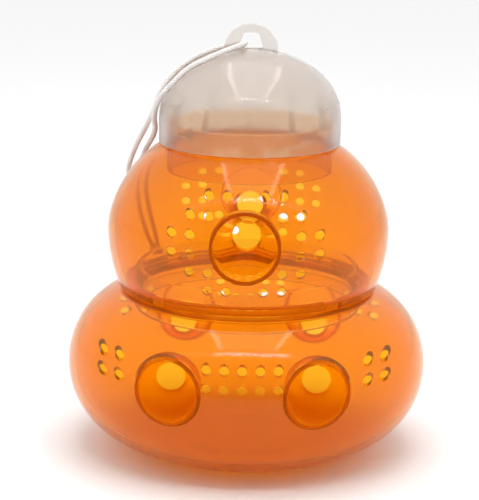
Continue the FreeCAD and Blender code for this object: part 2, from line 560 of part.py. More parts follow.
def make_lid():
    body = new_body("lid")
    revolve(body, dome_sketch(body, "dome_outside", 0), "dome")
    # Hanging ring: an arch that stands on the dome.
    tab = new_sketch(body, "XZ_Plane", "tab_outline")
    reach = size("tab_radius")
    foot = size("lid_top") - size("lid_knuckle_arc") / 2
    spring = size("lid_top") - size("tab_thick") / 4
    arch_centre = Vector(0, spring, 0)
    tab.addGeometry(arc(arch_centre, reach, Vector(reach, spring, 0), Vector(-reach, spring, 0)), False)
    tab.addGeometry(Part.LineSegment(Vector(-reach, spring, 0), Vector(-reach, foot, 0)), False)
    tab.addGeometry(Part.LineSegment(Vector(-reach, foot, 0), Vector(reach, foot, 0)), False)
    tab.addGeometry(Part.LineSegment(Vector(reach, foot, 0), Vector(reach, spring, 0)), False)
    for number, joint in enumerate(("Tangent", "Coincident", "Coincident", "Tangent")):
        tab.addConstraint(Sketcher.Constraint(joint, number, 2, (number + 1) % 4, 1))
    tab.addConstraint(Sketcher.Constraint("Horizontal", 2))
    tab.addConstraint(Sketcher.Constraint("Vertical", 1))
    tab.addConstraint(Sketcher.Constraint("PointOnObject", 0, 3, -2))
    measure(tab, "Radius", "arch", reach, 0)
    bind(tab, "arch", "sizes.tab_radius")
    measure(tab, "DistanceY", "spring", spring, -1, 1, 0, 3)
    bind(tab, "spring", "sizes.lid_top - sizes.tab_thick / 4")
    measure(tab, "DistanceY", "foot", foot, -1, 1, 2, 1)
    bind(tab, "foot", "sizes.lid_top - sizes.lid_knuckle_arc / 2")
    pad = body.newObject("PartDesign::Pad", "tab")
    pad.Profile = tab
    pad.Midplane = True
    pad.setExpression("Length", "sizes.tab_thick")
    DOC.recompute()
    eye = new_sketch(body, "XZ_Plane", "eye_outline")
    low = size("lid_top") + size("run_gap")
    high = low + size("eye_height")
    add_polygon(eye, [Vector(-size("eye_foot_half"), low, 0), Vector(size("eye_foot_half"), low, 0),
                      Vector(size("eye_top_half"), high, 0), Vector(-size("eye_top_half"), high, 0)])
    before = body.Shape.Volume
    hole = body.newObject("PartDesign::Pocket", "eye")
    hole.Profile = eye
    hole.Midplane = True
    hole.setExpression("Length", "4 * sizes.tab_thick")
    DOC.recompute()
    if not body.Shape.Volume < before - 1.0:
        raise RuntimeError("the ring's hole cuts nothing")
    # Round the four upright corners of the hole.
    corners = []
    for number, edge in enumerate(hole.Shape.Edges, start=1):
        ends = [vertex.Point for vertex in edge.Vertexes]
        if len(ends) < 2 or not isinstance(edge.Curve, Part.Line):
            continue
        along = ends[1] - ends[0]
        if abs(abs(along.y) - size("tab_thick")) < 1e-6 and ends[0].z > low - 1e-6:
            corners.append(f"Edge{number}")
    rounding = body.newObject("PartDesign::Fillet", "eye_corners")
    rounding.Base = (hole, corners)
    rounding.setExpression("Radius", "sizes.tab_thick * 0.4")
    DOC.recompute()
    revolve(body, dome_sketch(body, "dome_inside", 1), "dome_cavity", cut=True)
    # Ramps of the catch, and the stop at the high end of each.
    inside = "sizes.neck_radius + sizes.run_gap"
    outside = "sizes.lid_radius - sizes.lid_wall / 2"
    near, far = size("neck_radius") + size("run_gap"), size("lid_radius") - size("lid_wall") / 2
    ramp = new_sketch(body, "XZ_Plane", "ramp_section", turned(FRONT + RAMP_START))
    add_rectangle(ramp, near, size("ramp_low") - size("ramp_thick"), far, size("ramp_low"),
                  (inside, "sizes.ramp_low - sizes.ramp_thick", outside, "sizes.ramp_low"))
    helix = body.newObject("PartDesign::AdditiveHelix", "ramp")
    helix.Profile = ramp
    helix.ReferenceAxis = (ramp, ["V_Axis"])
    helix.Mode = "pitch-height-angle"
    helix.Pitch = size("ramp_rise") * 360.0 / RAMP_SWEEP
    helix.Height = size("ramp_rise")
    helix.Angle = 0
    helix.LeftHanded = False
    ramp.Visibility = False
    DOC.recompute()
    ring_pattern(body, helix, "ramps", CATCHES)
    stop_angle = RAMP_START + RAMP_SWEEP - STOP_SWEEP / 2
    stop = new_sketch(body, "XZ_Plane", "stop_section", turned(FRONT + stop_angle))
    stop_low = size("ramp_low") + size("ramp_rise") - size("ramp_thick")
    add_rectangle(stop, near, stop_low, far, size("neck_top") + size("ramp_thick"),
                  (inside, "sizes.ramp_low + sizes.ramp_rise - sizes.ramp_thick", outside,
                   "sizes.neck_top + sizes.ramp_thick"))
    feature = revolve(body, stop, "stop", STOP_SWEEP, midplane=True)
    ring_pattern(body, feature, "stops", CATCHES)
    # Twelve upright ribs that press on the neck's top edge.
    rib = new_sketch(body, "XZ_Plane", "rib_section", turned(FRONT))
    add_rectangle(rib, size("neck_radius") - size("lid_wall"), size("neck_top") + size("run_gap"),
                  far, size("neck_top") + size("rib_length"),
                  ("sizes.neck_radius - sizes.lid_wall", "sizes.neck_top + sizes.run_gap", outside,
                   "sizes.neck_top + sizes.rib_length"))
    feature = revolve(body, rib, "rib", 1.7, midplane=True)
    ring_pattern(body, feature, "ribs", 12)
    return body


# Entry funnels --------------------------------------------------------------------------

def make_envelope(outline, name):
    """The chamber's outer shape grown by the funnels' lip, which trims their mouths."""
    lip = size("funnel_lip")
    rows = outline.arcs(-lip)
    foot = outline.end_at_height(rows[0][0], rows[0][1], outline.foot.y)
    top = outline.end_at_height(rows[2][0], rows[2][1], outline.top.y)
    stops = [foot, rows[0][3], rows[1][3], top]
    edges = [Part.LineSegment(Vector(0, foot.y, 0), foot).toShape()]
    for (centre, radius, _, _), start, end in zip(rows, stops, stops[1:]):
        edges.append(arc(centre, radius, start, end).toShape())
    edges.append(Part.LineSegment(top, Vector(0, top.y, 0)).toShape())
    edges.append(Part.LineSegment(Vector(0, top.y, 0), Vector(0, foot.y, 0)).toShape())
    face = Part.Face(Part.Wire(edges))
    face.rotate(Vector(0, 0, 0), Vector(1, 0, 0), 90)
    feature = DOC.addObject("Part::Feature", name)
    feature.Shape = face.revolve(Vector(0, 0, 0), Z_AXIS, 360)
    return feature


def make_funnel(name, prefix, envelope, side, back):
    """A straight bowl and a cone, its mouth trimmed to follow the chamber."""
    body = DOC.addObject("PartDesign::Body", f"{name}_blank")
    across = side * size("lower_funnel_side")
    surface = math.sqrt(size(f"{prefix}_radius") ** 2 - across ** 2)
    bowl_end = surface - size(f"{prefix}_bowl_depth")
    outlet_end = surface - size(f"{prefix}_funnel_depth")
    far = size(f"{prefix}_radius") + 5 * size("funnel_lip")
    mouth, outlet, wall = size(f"{prefix}_mouth_radius"), size("outlet_radius"), size("funnel_wall")
    points = [Vector(mouth, -far, 0), Vector(mouth + wall, -far, 0), Vector(mouth + wall, -bowl_end, 0),
              Vector(outlet + wall, -outlet_end, 0), Vector(outlet, -outlet_end, 0),
              Vector(mouth, -bowl_end, 0)]
    surface_text = (f"sqrt(sizes.{prefix}_radius ^ 2 - (sizes.lower_funnel_side * {abs(side)}) ^ 2)")
    mouth_text = f"sizes.{prefix}_mouth_radius"
    bowl_text = f"{surface_text} - sizes.{prefix}_bowl_depth"
    outlet_text = f"{surface_text} - sizes.{prefix}_funnel_depth"
    far_text = f"sizes.{prefix}_radius + 5 * sizes.funnel_lip"
    texts = [(mouth_text, far_text), (mouth_text + " + sizes.funnel_wall", far_text),
             (mouth_text + " + sizes.funnel_wall", bowl_text),
             ("sizes.outlet_radius + sizes.funnel_wall", outlet_text),
             ("sizes.outlet_radius", outlet_text), (mouth_text, bowl_text)]
    sketch = new_sketch(body, "XY_Plane", f"{name}_section")
    add_polygon(sketch, points)
    for number in range(len(points)):
        sketch.addConstraint(Sketcher.Constraint("Coincident", number, 2, (number + 1) % len(points), 1))
    for number, (point, (radius_text, reach_text)) in enumerate(zip(points, texts)):
        measure(sketch, "DistanceX", f"radius{number}", point.x, -1, 1, number, 1)
        bind(sketch, f"radius{number}", radius_text)
        measure(sketch, "DistanceY", f"reach{number}", -point.y, number, 1, -1, 1)
        bind(sketch, f"reach{number}", reach_text)
    feature = body.newObject("PartDesign::Revolution", f"{name}_turned")
    feature.Profile = sketch
    feature.ReferenceAxis = (sketch, ["V_Axis"])
    feature.Angle = 360.0
    half_turn = Rotation(Z_AXIS, 180.0 if back else 0.0)
    place = half_turn.multVec(Vector(across, 0, size(f"{prefix}_funnel_level")))
    body.Placement = Placement(place, half_turn)
    trimmed = DOC.addObject("Part::Common", name)
    trimmed.Base = body
    trimmed.Tool = envelope
    trimmed.Label = name
    DOC.recompute()
    return trimmed


# Hanging cord ---------------------------------------------------------------------------

def on_dome(across, depth):
    """Point above (across, depth) where a cord lies on the dome."""
    rest = size("cord_diameter") / 2 + size("cord_clearance")
    knuckle, crown = size("lid_knuckle_arc"), size("lid_crown_arc")
    offset = size("lid_radius") - knuckle
    crown_height = size("lid_top") - crown
    knuckle_height = crown_height + math.sqrt((crown - knuckle) ** 2 - offset ** 2)
    reach = math.hypot(across, depth)
    crown_edge = offset * (crown + rest) / (crown - knuckle)
    if reach < crown_edge:
        return Vector(across, depth, crown_height + math.sqrt((crown + rest) ** 2 - reach ** 2))
    rise = math.sqrt((knuckle + rest) ** 2 - (reach - offset) ** 2)
    return Vector(across, depth, knuckle_height + rise)


KNOT_CENTRE = Vector(-43.3, 42.2, 72.0)
RING_PASS = 2.6
RING_SIDE = 3.2

# From the knot up the outer strand, through the ring and down the inner strand to the knot.
CORD_ROUTE = [
    KNOT_CENTRE + Vector(-0.9, -1.0, 1.2),
    Vector(-46.5, 39.5, 78.0),
    Vector(-50.5, 37.0, 92.0),
    Vector(-53.9, 34.0, 109.0),
    Vector(-50.0, 24.2, 120.9),
    Vector(-43.9, 13.6, 132.7),
    Vector(-39.6, 6.6, 142.0),
    Vector(-37.1, 5.0, 149.5),
    on_dome(-31.8, 7.0),
    on_dome(-25.0, 8.4),
    on_dome(-17.0, 8.8),
    on_dome(-9.6, 6.6),
    Vector(-RING_PASS, RING_SIDE, size("lid_top") + 2.1),
    Vector(-RING_PASS, -RING_SIDE, size("lid_top") + 2.1),
    on_dome(-10.3, -8.0),
    on_dome(-18.5, -12.0),
    on_dome(-25.4, -11.6),
    on_dome(-30.9, -13.2),
    Vector(-37.3, -8.8, 147.8),
    Vector(-40.1, 2.4, 139.0),
    Vector(-39.6, 14.0, 130.6),
    Vector(-46.2, 27.6, 119.2),
    Vector(-49.0, 37.6, 107.0),
    Vector(-46.5, 41.4, 92.0),
    Vector(-43.0, 44.4, 78.0),
    KNOT_CENTRE + Vector(0.9, 1.0, 1.2),
]


def rounded_path(points):
    """Straight runs joined by arcs that touch both runs; returns the edges and the arcs' radii."""
    edges, radii, start = [], [], points[0]
    for before, corner, after in zip(points, points[1:], points[2:]):
        back, ahead = before - corner, after - corner
        half_turn = (math.pi - back.getAngle(ahead)) / 2
        cut = 0.45 * min(back.Length, ahead.Length)
        radius = cut / math.tan(half_turn)
        radii.append(radius)
        enter = corner + Vector(back).normalize() * cut
        leave = corner + Vector(ahead).normalize() * cut
        bisector = (Vector(back).normalize() + Vector(ahead).normalize()).normalize()
        middle = corner + bisector * (radius / math.cos(half_turn) - radius)
        edges.append(Part.LineSegment(start, enter).toShape())
        edges.append(Part.Arc(enter, middle, leave).toShape())
        start = leave
    edges.append(Part.LineSegment(start, points[-1]).toShape())
    return edges, radii


def make_cord(name):
    """Round tube along the route."""
    edges, radii = rounded_path(CORD_ROUTE)
    wire = Part.Wire(edges)
    radius = size("cord_diameter") / 2
    along = CORD_ROUTE[1] - CORD_ROUTE[0]
    profile = Part.Wire([Part.Circle(CORD_ROUTE[0], along, radius).toShape()])
    tube = wire.makePipeShell([profile], True, False)
    feature = DOC.addObject("Part::Feature", name)
    feature.Shape = tube
    expected = math.pi * radius ** 2 * wire.Length
    print("cord radii", " ".join(f"{value:.1f}" for value in radii))
    print(f"cord length {wire.Length:.1f}, volume {tube.Volume:.1f}, section x length {expected:.1f}")
    if abs(tube.Volume - expected) > 0.02 * expected:
        raise RuntimeError("the cord's tube is not a clean sweep of its section")
    return feature


def make_knot(name):
    feature = DOC.addObject("Part::Ellipsoid", name)
    feature.setExpression("Radius1", "sizes.knot_radius * 1.15")
    feature.setExpression("Radius2", "sizes.knot_radius")
    feature.setExpression("Radius3", "sizes.knot_radius")
    feature.Placement = Placement(KNOT_CENTRE, Rotation())
    return feature


# Build, check and write -----------------------------------------------------------------

def make_all():
    upper_envelope = make_envelope(UPPER_OUTLINE, "upper_envelope")
    lower_envelope = make_envelope(LOWER_OUTLINE, "lower_envelope")
    return [
        make_lower_half("lower_front_shell", False),
        make_lower_half("lower_back_shell", True),
        make_upper_half("upper_front_shell", False),
        make_upper_half("upper_back_shell", True),
        make_waist_collar(),
        make_neck_ring(),
        make_funnel("upper_front_funnel", "upper", upper_envelope, 0, False),
        make_funnel("upper_back_funnel", "upper", upper_envelope, 0, True),
        make_funnel("lower_front_left_funnel", "lower", lower_envelope, -1, False),
        make_funnel("lower_front_right_funnel", "lower", lower_envelope, 1, False),
        make_funnel("lower_back_left_funnel", "lower", lower_envelope, 1, True),
        make_funnel("lower_back_right_funnel", "lower", lower_envelope, -1, True),
        make_lid(),
        make_cord("hanging_cord"),
        make_knot("cord_knot"),
    ]


def check(pieces):
    """Stop at any failed object or bad shape."""
    DOC.recompute()
    for item in DOC.Objects:
        if "Invalid" in item.State or "Error" in item.State:
            raise RuntimeError(f"{item.Label} failed: {item.State}")
    for piece in pieces:
        shape = piece.Shape
        if shape.isNull() or not shape.isValid() or len(shape.Solids) != 1:
            raise RuntimeError(f"{piece.Label} is not one valid solid")


def write(pieces):
    os.makedirs("parts", exist_ok=True)
    for piece in pieces:
        piece.Shape.exportStep(f"parts/{piece.Label}.step")
        bounds = piece.Shape.BoundBox
        print(f"{piece.Label}: {piece.Shape.Volume:.0f} mm3, x {bounds.XMin:.1f} {bounds.XMax:.1f},"
              f" y {bounds.YMin:.1f} {bounds.YMax:.1f}, z {bounds.ZMin:.1f} {bounds.ZMax:.1f}")


PIECES = make_all()
check(PIECES)
write(PIECES)
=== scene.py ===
"""Hanging insect trap: clear orange chambers and funnels, frosted lid, twisted cord, in metres.

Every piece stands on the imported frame: the front faces -Y, +Z is up, the base is at the origin.
"""
import math

import bmesh
import bpy
import numpy as np
from bpy.props import FloatProperty, FloatVectorProperty, IntProperty, PointerProperty
from bpy.types import Operator, Panel, PropertyGroup
from mathutils import Matrix, Vector


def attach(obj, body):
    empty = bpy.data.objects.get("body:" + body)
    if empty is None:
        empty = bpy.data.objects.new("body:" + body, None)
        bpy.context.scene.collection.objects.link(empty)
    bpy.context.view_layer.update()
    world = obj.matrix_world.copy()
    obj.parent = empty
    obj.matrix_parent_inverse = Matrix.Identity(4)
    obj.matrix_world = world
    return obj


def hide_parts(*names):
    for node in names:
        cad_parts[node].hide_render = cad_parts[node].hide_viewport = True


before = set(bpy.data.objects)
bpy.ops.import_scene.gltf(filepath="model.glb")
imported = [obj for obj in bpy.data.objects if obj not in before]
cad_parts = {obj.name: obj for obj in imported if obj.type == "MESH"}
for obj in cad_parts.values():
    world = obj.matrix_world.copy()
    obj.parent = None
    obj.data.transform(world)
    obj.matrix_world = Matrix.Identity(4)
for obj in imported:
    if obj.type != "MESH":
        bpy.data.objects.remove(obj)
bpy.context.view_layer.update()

bl_info = {
    "name": "Hanging insect trap",
    "version": (1, 0, 0),
    "blender": (4, 5, 0),
    "location": "3D View > Sidebar > Trap",
    "description": "Builds a two-chamber hanging insect trap with its lid and cord",
    "category": "Add Mesh",
}

MM = 0.001


def linear(code):
    """Linear colour of an sRGB hex value."""
    channels = [int(code[place:place + 2], 16) / 255 for place in (1, 3, 5)]
    return tuple(c / 12.92 if c <= 0.04045 else ((c + 0.055) / 1.055) ** 2.4 for c in channels)


# Outlines of the chambers, in millimetres: widest radius and its height, the three arcs from
# the widest ring down to the foot and up to the top, the two ends of the outline, and where the
# groove between the mouldings shows: beyond a radius, from a height, to a height.
LOWER = {"radius": 75.0, "equator": 36.8, "ring": 34.0, "belly": 50.0, "shoulder": 73.0,
         "foot": (32.0, 0.0), "top": (53.4, 69.0), "groove": (60.0, 3.0, 66.0)}
UPPER = {"radius": 58.4, "equator": 93.2, "ring": 28.7, "belly": 62.5, "shoulder": 49.0,
         "foot": (53.4, 69.1), "top": (36.0, 129.2), "groove": (54.5, 72.0, 112.0)}
SEAM_DEPTH = 0.12
GLUE_GAP = 0.1
RUN_GAP = 0.3
NECK_RADIUS = 33.9
NECK_WALL = 2.2
NECK_SPAN = (117.5, 137.8)
COLLAR_RADIUS = 46.6
COLLAR_WALL = 2.2
COLLAR_SPAN = (59.6, 77.6)
COLLAR_REACH = 1.9
LUG_HEIGHT = 2.0
LID_RADIUS = 37.4
LID_RIM = 129.6
LID_TOP = 168.0
LID_CROWN = 46.6
LID_KNUCKLE = 24.2
RAMP_LOW = 131.2
RAMP_RISE = 3.8
RAMP_THICK = 1.2
RAMP_START = 9.0
RAMP_SWEEP = 40.0
STOP_SWEEP = 3.0
LUG_PLAY = 0.5
LUG_SWEEP = 8.0
NOTCH_PLAY = 2.0
RIB_COUNT = 12
RIB_SWEEP = 1.7
RIB_SPAN = (138.1, 146.8)
TAB_ARCH = 11.1
TAB_THICK = 3.0
TAB_ROOT = 8.0
TAB_EDGE = 0.55
TAB_STEPS = 160
EYE_LOW = 168.3
EYE_HIGH = 174.5
EYE_FOOT_HALF = 5.0
EYE_TOP_HALF = 3.1
FRONT = -90.0
# Funnels: mouth radius, height, sideways place, depth of the cone's end and of the bowl.
UPPER_FUNNEL = {"mouth": 12.6, "level": 97.0, "side": 0.0, "depth": 28.0, "bowl": 7.0}
LOWER_FUNNEL = {"mouth": 11.7, "level": 41.7, "side": 29.1, "depth": 24.0, "bowl": 15.0}
OUTLET_RADIUS = 5.6
FUNNEL_LIP = 0.6
FUNNEL_STEPS = 128
MOUTH_STEPS = 96
VENT_STEPS = 40
CUTTER_REACH = 90.0
# Air holes in steps of the pitch from the middle of each pattern: row, then its columns.
UPPER_VENTS = {"level": 97.8, "pitch": 7.25, "rows": {
    2.5: (1, 2), 1.5: (2, 3), 0.5: (3, 4),
    -0.5: (3, 4), -1.5: (2, 3), -2.5: (1, 2)}}
LOWER_VENTS = {"level": 48.3, "pitch": 7.0, "rows": {0.5: (0, 1, 2, 7, 8), -0.5: (0, 1, 2, 7, 8)}}


def per(millimetres):
    """Scale of a pattern whose repeat has this size."""
    return 1 / (millimetres * MM)


def size_field(name, description, millimetres):
    """A length that a user may change."""
    return FloatProperty(name=name, description=description, default=millimetres * MM,
                         unit="LENGTH", precision=4)


def colour_field(name, description, code):
    """A colour that a user may change."""
    return FloatVectorProperty(name=name, description=description, subtype="COLOR",
                               default=linear(code))


class TrapSizes(PropertyGroup):
    """Sizes that change how the pieces look without moving them."""
    chamber_wall: size_field("Chamber wall", "Wall thickness of both chambers", 2.8)
    funnel_wall: size_field("Funnel wall", "Wall thickness of the funnels", 1.5)
    lid_wall: size_field("Lid wall", "Wall thickness of the lid", 1.5)
    vent_radius: size_field("Air hole radius", "Radius of the air holes", 1.95)
    cord_diameter: size_field("Cord diameter", "Across the twisted cord", 2.4)
    cord_lay: size_field("Cord lay", "Length of one full turn of the twist", 4.6)
    segments: IntProperty(name="Segments", description="Steps round each turned piece", default=240,
                          min=24)


class TrapColours(PropertyGroup):
    """Colours of the finishes."""
    wall_light: colour_field("Wall light", "What one chamber wall lets through", "#F4DCD0")
    edge_glow: colour_field("Edge glow", "Tint of the skin and its faint scatter", "#FFD430")
    # Emission colour of the orange plastic: painted glow, not light from a lamp.
    painted_dye_glow: colour_field("Dye glow", "Fluorescence of the dye in daylight", "#FF7800")
    lid_tint: colour_field("Lid", "Natural polypropylene", "#F1EAE4")
    cord_tint: colour_field("Cord", "Bleached twine", "#FBF7F3")
    floor_tint: colour_field("Floor", "Pale floor", "#FDFDFD")


def sizes():
    return bpy.context.scene.trap_sizes


def colours():
    return bpy.context.scene.trap_colours


# Meshes ---------------------------------------------------------------------------------

def make_object(name, vertices, faces):
    """A mesh object from points in millimetres."""
    mesh = bpy.data.meshes.new(name)
    mesh.from_pydata([tuple(point) for point in np.asarray(vertices, float) * MM], [], faces)
    mesh.update()
    item = bpy.data.objects.new(name, mesh)
    bpy.context.scene.collection.objects.link(item)
    return item


def arc_points(centre, radius, start, end, step=2.2):
    """Points along an arc from angle start to angle end, in radians."""
    count = max(3, int(abs(end - start) * radius / step) + 1)
    angles = np.linspace(start, end, count)
    return [(centre[0] + radius * math.cos(a), centre[1] + radius * math.sin(a)) for a in angles]


def touching_centre(ring_centre, ring, point, radius, upward):
    """Centre of the arc that ends at point and touches the ring arc from outside."""
    apart = np.subtract(point, ring_centre)
    length = np.hypot(*apart)
    reach = radius - ring
    along = (reach ** 2 - radius ** 2 + length ** 2) / (2 * length)
    across = math.sqrt(reach ** 2 - along ** 2)
    unit = apart / length
    side = np.array([-unit[1], unit[0]])
    centres = [ring_centre + unit * along + side * across * sign for sign in (1, -1)]
    return min(centres, key=lambda c: c[0] + (c[1] if upward else -c[1]))


def outline(shape, inset=0.0):
    """Points (radius, height) of a chamber's side from foot to top, moved into the wall."""
    ring_centre = np.array([shape["radius"] - shape["ring"], shape["equator"]])
    points = []
    ends = {}
    for key, end, upward in (("belly", "foot", False), ("shoulder", "top", True)):
        centre = touching_centre(ring_centre, shape["ring"], shape[end], shape[key], upward)
        join = math.atan2(*(ring_centre - centre)[::-1])
        stop = math.atan2(shape[end][1] - centre[1], shape[end][0] - centre[0])
        if inset:
            stop += 0.12 * (1 if upward else -1)
        ends[key] = (centre, join, stop)
    centre, join, stop = ends["belly"]
    points += arc_points(centre, shape["belly"] - inset, stop, join)
    points += arc_points(ring_centre, shape["ring"] - inset, join, ends["shoulder"][1])[1:]
    centre, join, stop = ends["shoulder"]
    points += arc_points(centre, shape["shoulder"] - inset, join, stop)[1:]
    return points


def clip(points, keep, level, axis):
    """Part of a line of points on one side of a level; keep is +1 for above and -1 for below."""
    kept = []
    for before, after in zip(points, points[1:]):
        inside = [keep * (point[axis] - level) >= 0 for point in (before, after)]
        if inside[0]:
            kept.append(before)
        if inside[0] != inside[1]:
            share = (level - before[axis]) / (after[axis] - before[axis])
            kept.append(tuple(b + (a - b) * share for b, a in zip(before, after)))
    if keep * (points[-1][axis] - level) >= 0:
        kept.append(points[-1])
    return kept


def soften(points, corner, cut, closed=False, steps=5):
    """Round the corner nearest to a point by a curve that starts cut millimetres before it."""
    where = min(range(len(points)), key=lambda i: math.dist(points[i], corner))
    centre = points[where]

    def walk(direction):
        left, here, index, passed = cut, centre, where, 0
        while True:
            index = index + direction
            if closed:
                index %= len(points)
            following = points[index]
            length = math.dist(here, following)
            if length > left:
                share = left / length
                return tuple(a + (b - a) * share for a, b in zip(here, following)), passed
            left -= length
            here = following
            passed += 1

    entry, before = walk(-1)
    leave, after = walk(1)
    curve = []
    for share in np.linspace(0, 1, steps + 1):
        a, b, c = (1 - share) ** 2, 2 * share * (1 - share), share ** 2
        curve.append(tuple(a * e + b * m + c * l for e, m, l in zip(entry, centre, leave)))
    if closed:
        turned = points[where:] + points[:where]
        return curve + turned[after + 1:len(turned) - before]
    return points[:where - before] + curve + points[where + after + 1:]


def round_angles(count, seams=(), half_width=0.004):
    """Angles of the steps round a turned piece, closer together at a seam."""
    angles = {round(2 * math.pi * step / count, 9) for step in range(count)}
    for seam in seams:
        angles |= {round((seam + sign * half_width) % (2 * math.pi), 9) for sign in (1, -1)}
    return sorted(angles)


def quads(rings, steps, closed):
    """Faces between neighbouring rings of points; closed joins the last ring to the first."""
    faces = []
    for ring in range(rings if closed else rings - 1):
        following = (ring + 1) % rings
        for step in range(steps):
            after = (step + 1) % steps
            faces.append([ring * steps + step, ring * steps + after,
                          following * steps + after, following * steps + step])
    return faces


def caps(rings, steps):
    """End faces of a row of rings."""
    return [list(range(steps))[::-1], list(range((rings - 1) * steps, rings * steps))]


def lathe(name, profile, closed, angles=None, dent=None):
    """Turn a profile about Z; it runs with the solid on its left.

    dent(radius, height, angle) says how far to move a point inwards.
    """
    angles = angles or round_angles(sizes().segments)
    count = len(angles)
    vertices, rings = [], []
    for radius, height in profile:
        if radius < 1e-6:
            rings.append([len(vertices)] * count)
            vertices.append((0.0, 0.0, height))
            continue
        rings.append(list(range(len(vertices), len(vertices) + count)))
        for angle in angles:
            reach = radius - (dent(radius, height, angle) if dent else 0.0)
            vertices.append((reach * math.cos(angle), reach * math.sin(angle), height))
    faces = []
    for low, high in zip(rings, rings[1:] + (rings[:1] if closed else [])):
        for step in range(count):
            following = (step + 1) % count
            corners = [low[step], low[following], high[following], high[step]]
            kept = [c for i, c in enumerate(corners) if c != corners[i - 1]]
            if len(kept) > 2:
                faces.append(kept)
    item = make_object(name, vertices, faces)
    face_outwards(item.data)
    return item


def sector(start, sweep, inner, outer, low, high, rise=0.0, steps=6):
    """A block between two radii and two heights over a sweep in degrees; rise lifts its far end."""
    vertices = []
    for step in range(steps + 1):
        share = step / steps
        angle = math.radians(start + sweep * share)
        for radius, height in ((inner, low), (outer, low), (outer, high), (inner, high)):
            vertices.append((radius * math.cos(angle), radius * math.sin(angle),
                             height + rise * share))
    return vertices, quads(steps + 1, 4, False) + caps(steps + 1, 4)


def along_y(across, level, radius):
    """A cylinder parallel to Y through the whole trap."""
    steps = MOUTH_STEPS if radius > OUTLET_RADIUS else VENT_STEPS
    vertices = []
    for depth in (-CUTTER_REACH, CUTTER_REACH):
        for step in range(steps):
            angle = 2 * math.pi * step / steps
            vertices.append((across + radius * math.cos(angle), depth,
                             level + radius * math.sin(angle)))
    return vertices, quads(2, steps, False) + caps(2, steps)


def gather(name, parts):
    """One object from several lists of vertices and faces."""
    vertices, faces = [], []
    for part_vertices, part_faces in parts:
        first = len(vertices)
        vertices += list(part_vertices)
        faces += [[first + index for index in face] for face in part_faces]
    item = make_object(name, vertices, faces)
    face_outwards(item.data)
    return item


def face_outwards(mesh):
    """Turn every face of a closed mesh outwards."""
    work = bmesh.new()
    work.from_mesh(mesh)
    bmesh.ops.recalc_face_normals(work, faces=work.faces)
    if work.calc_volume(signed=True) < 0:
        bmesh.ops.reverse_faces(work, faces=work.faces)
    work.to_mesh(mesh)
    work.free()


def combine(item, other, operation):
    """Join or cut with another object, which is used up."""
    modifier = item.modifiers.new("combine", "BOOLEAN")
    modifier.operation = operation
    modifier.solver = "EXACT"
    modifier.object = other
    graph = bpy.context.evaluated_depsgraph_get()
    mesh = bpy.data.meshes.new_from_object(item.evaluated_get(graph))
    item.modifiers.clear()
    if not mesh.polygons or len(mesh.vertices) == len(item.data.vertices):
        raise RuntimeError(f"{item.name}: {operation} changed nothing")
    item.data = mesh
    bpy.data.objects.remove(other)
    return item


def unit(rows):
    """Rows of a table scaled to length 1."""
    return rows / np.maximum(np.linalg.norm(rows, axis=1), 1e-9)[:, None]


def profile_normals(profile, closed):
    """Normal of each profile point, the solid being on the left of the line."""
    points = np.array(profile, float)
    ahead = np.roll(points, -1, 0) - points
    if not closed:
        ahead[-1] = ahead[-2]
    ahead = unit(ahead)
    behind = np.roll(ahead, 1, 0)
    if not closed:
        behind[0] = ahead[0]
    both = unit(ahead + behind)
    return np.stack([both[:, 1], -both[:, 0]], 1)


def turned_normals(place, profile, closed, batch=4000):
    """How far each point is from the turned profile, and the profile's normal beside it."""
    start, first = np.array(profile, float), profile_normals(profile, closed)
    end, last = np.roll(start, -1, 0), np.roll(first, -1, 0)
    if not closed:
        start, end, first, last = start[:-1], end[:-1], first[:-1], last[:-1]
    span = end - start
    square = np.maximum((span ** 2).sum(1), 1e-12)
    reach = np.hypot(place[:, 0], place[:, 1])
    spot = np.stack([reach, place[:, 2]], 1)
    found, gap = np.zeros((len(spot), 2)), np.zeros(len(spot))
    for low in range(0, len(spot), batch):
        some = spot[low:low + batch, None, :]
        share = np.clip(((some - start) * span).sum(2) / square, 0, 1)
        away = np.linalg.norm(start + share[..., None] * span - some, axis=2)
        best = away.argmin(1)
        rows = np.arange(len(best))
        gap[low:low + batch] = away[rows, best]
        part = share[rows, best][:, None]
        found[low:low + batch] = first[best] * (1 - part) + last[best] * part
    radial = place[:, :2] / np.maximum(reach, 1e-6)[:, None]
    return gap, unit(np.concatenate([radial * found[:, :1], found[:, 1:]], 1))


def read(items, attribute, width=3):
    """One attribute of a mesh's points, corners or faces, as a row of numbers for each."""
    values = np.zeros(len(items) * width, np.float32 if width > 1 else np.int32)
    items.foreach_get(attribute, values)
    return values.reshape(-1, width).astype(float) if width > 1 else values


def smooth_shade(item, profile=None, closed=True, tubes=(), sharp=32.0):
    """Smooth normals; those on the turned profile and in round holes come from the true shape."""
    mesh = item.data
    mesh.shade_smooth()
    mesh.set_sharp_from_angle(angle=math.radians(sharp))
    normals = read(mesh.corner_normals, "vector")
    corner = read(mesh.loops, "vertex_index", 1)
    place = read(mesh.vertices, "co") / MM
    flat = np.repeat(read(mesh.polygons, "normal"), read(mesh.polygons, "loop_total", 1), axis=0)

    def take(true, close, agreement):
        """Use the true normals where a point is close and its face points the same way."""
        use = close[corner] & ((true[corner] * flat).sum(1) > agreement)
        normals[use] = true[corner][use]

    if profile is not None:
        gap, true = turned_normals(place, profile, closed)
        take(true, gap < 0.04, 0.85)
    for across, level, radius in tubes:
        away = np.stack([place[:, 0] - across, np.zeros(len(place)), place[:, 2] - level], 1)
        take(unit(-away), abs(np.linalg.norm(away, axis=1) - radius) < 0.02, 0.9)
    mesh.normals_split_custom_set([tuple(normal) for normal in normals])


def place_piece(item, body, nodes, finish):
    """Put a finished piece on its body in place of its CAD nodes."""
    item.data.materials.clear()
    item.data.materials.append(material_of(finish))
    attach(item, body)
    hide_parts(*nodes)


# Materials ------------------------------------------------------------------------------

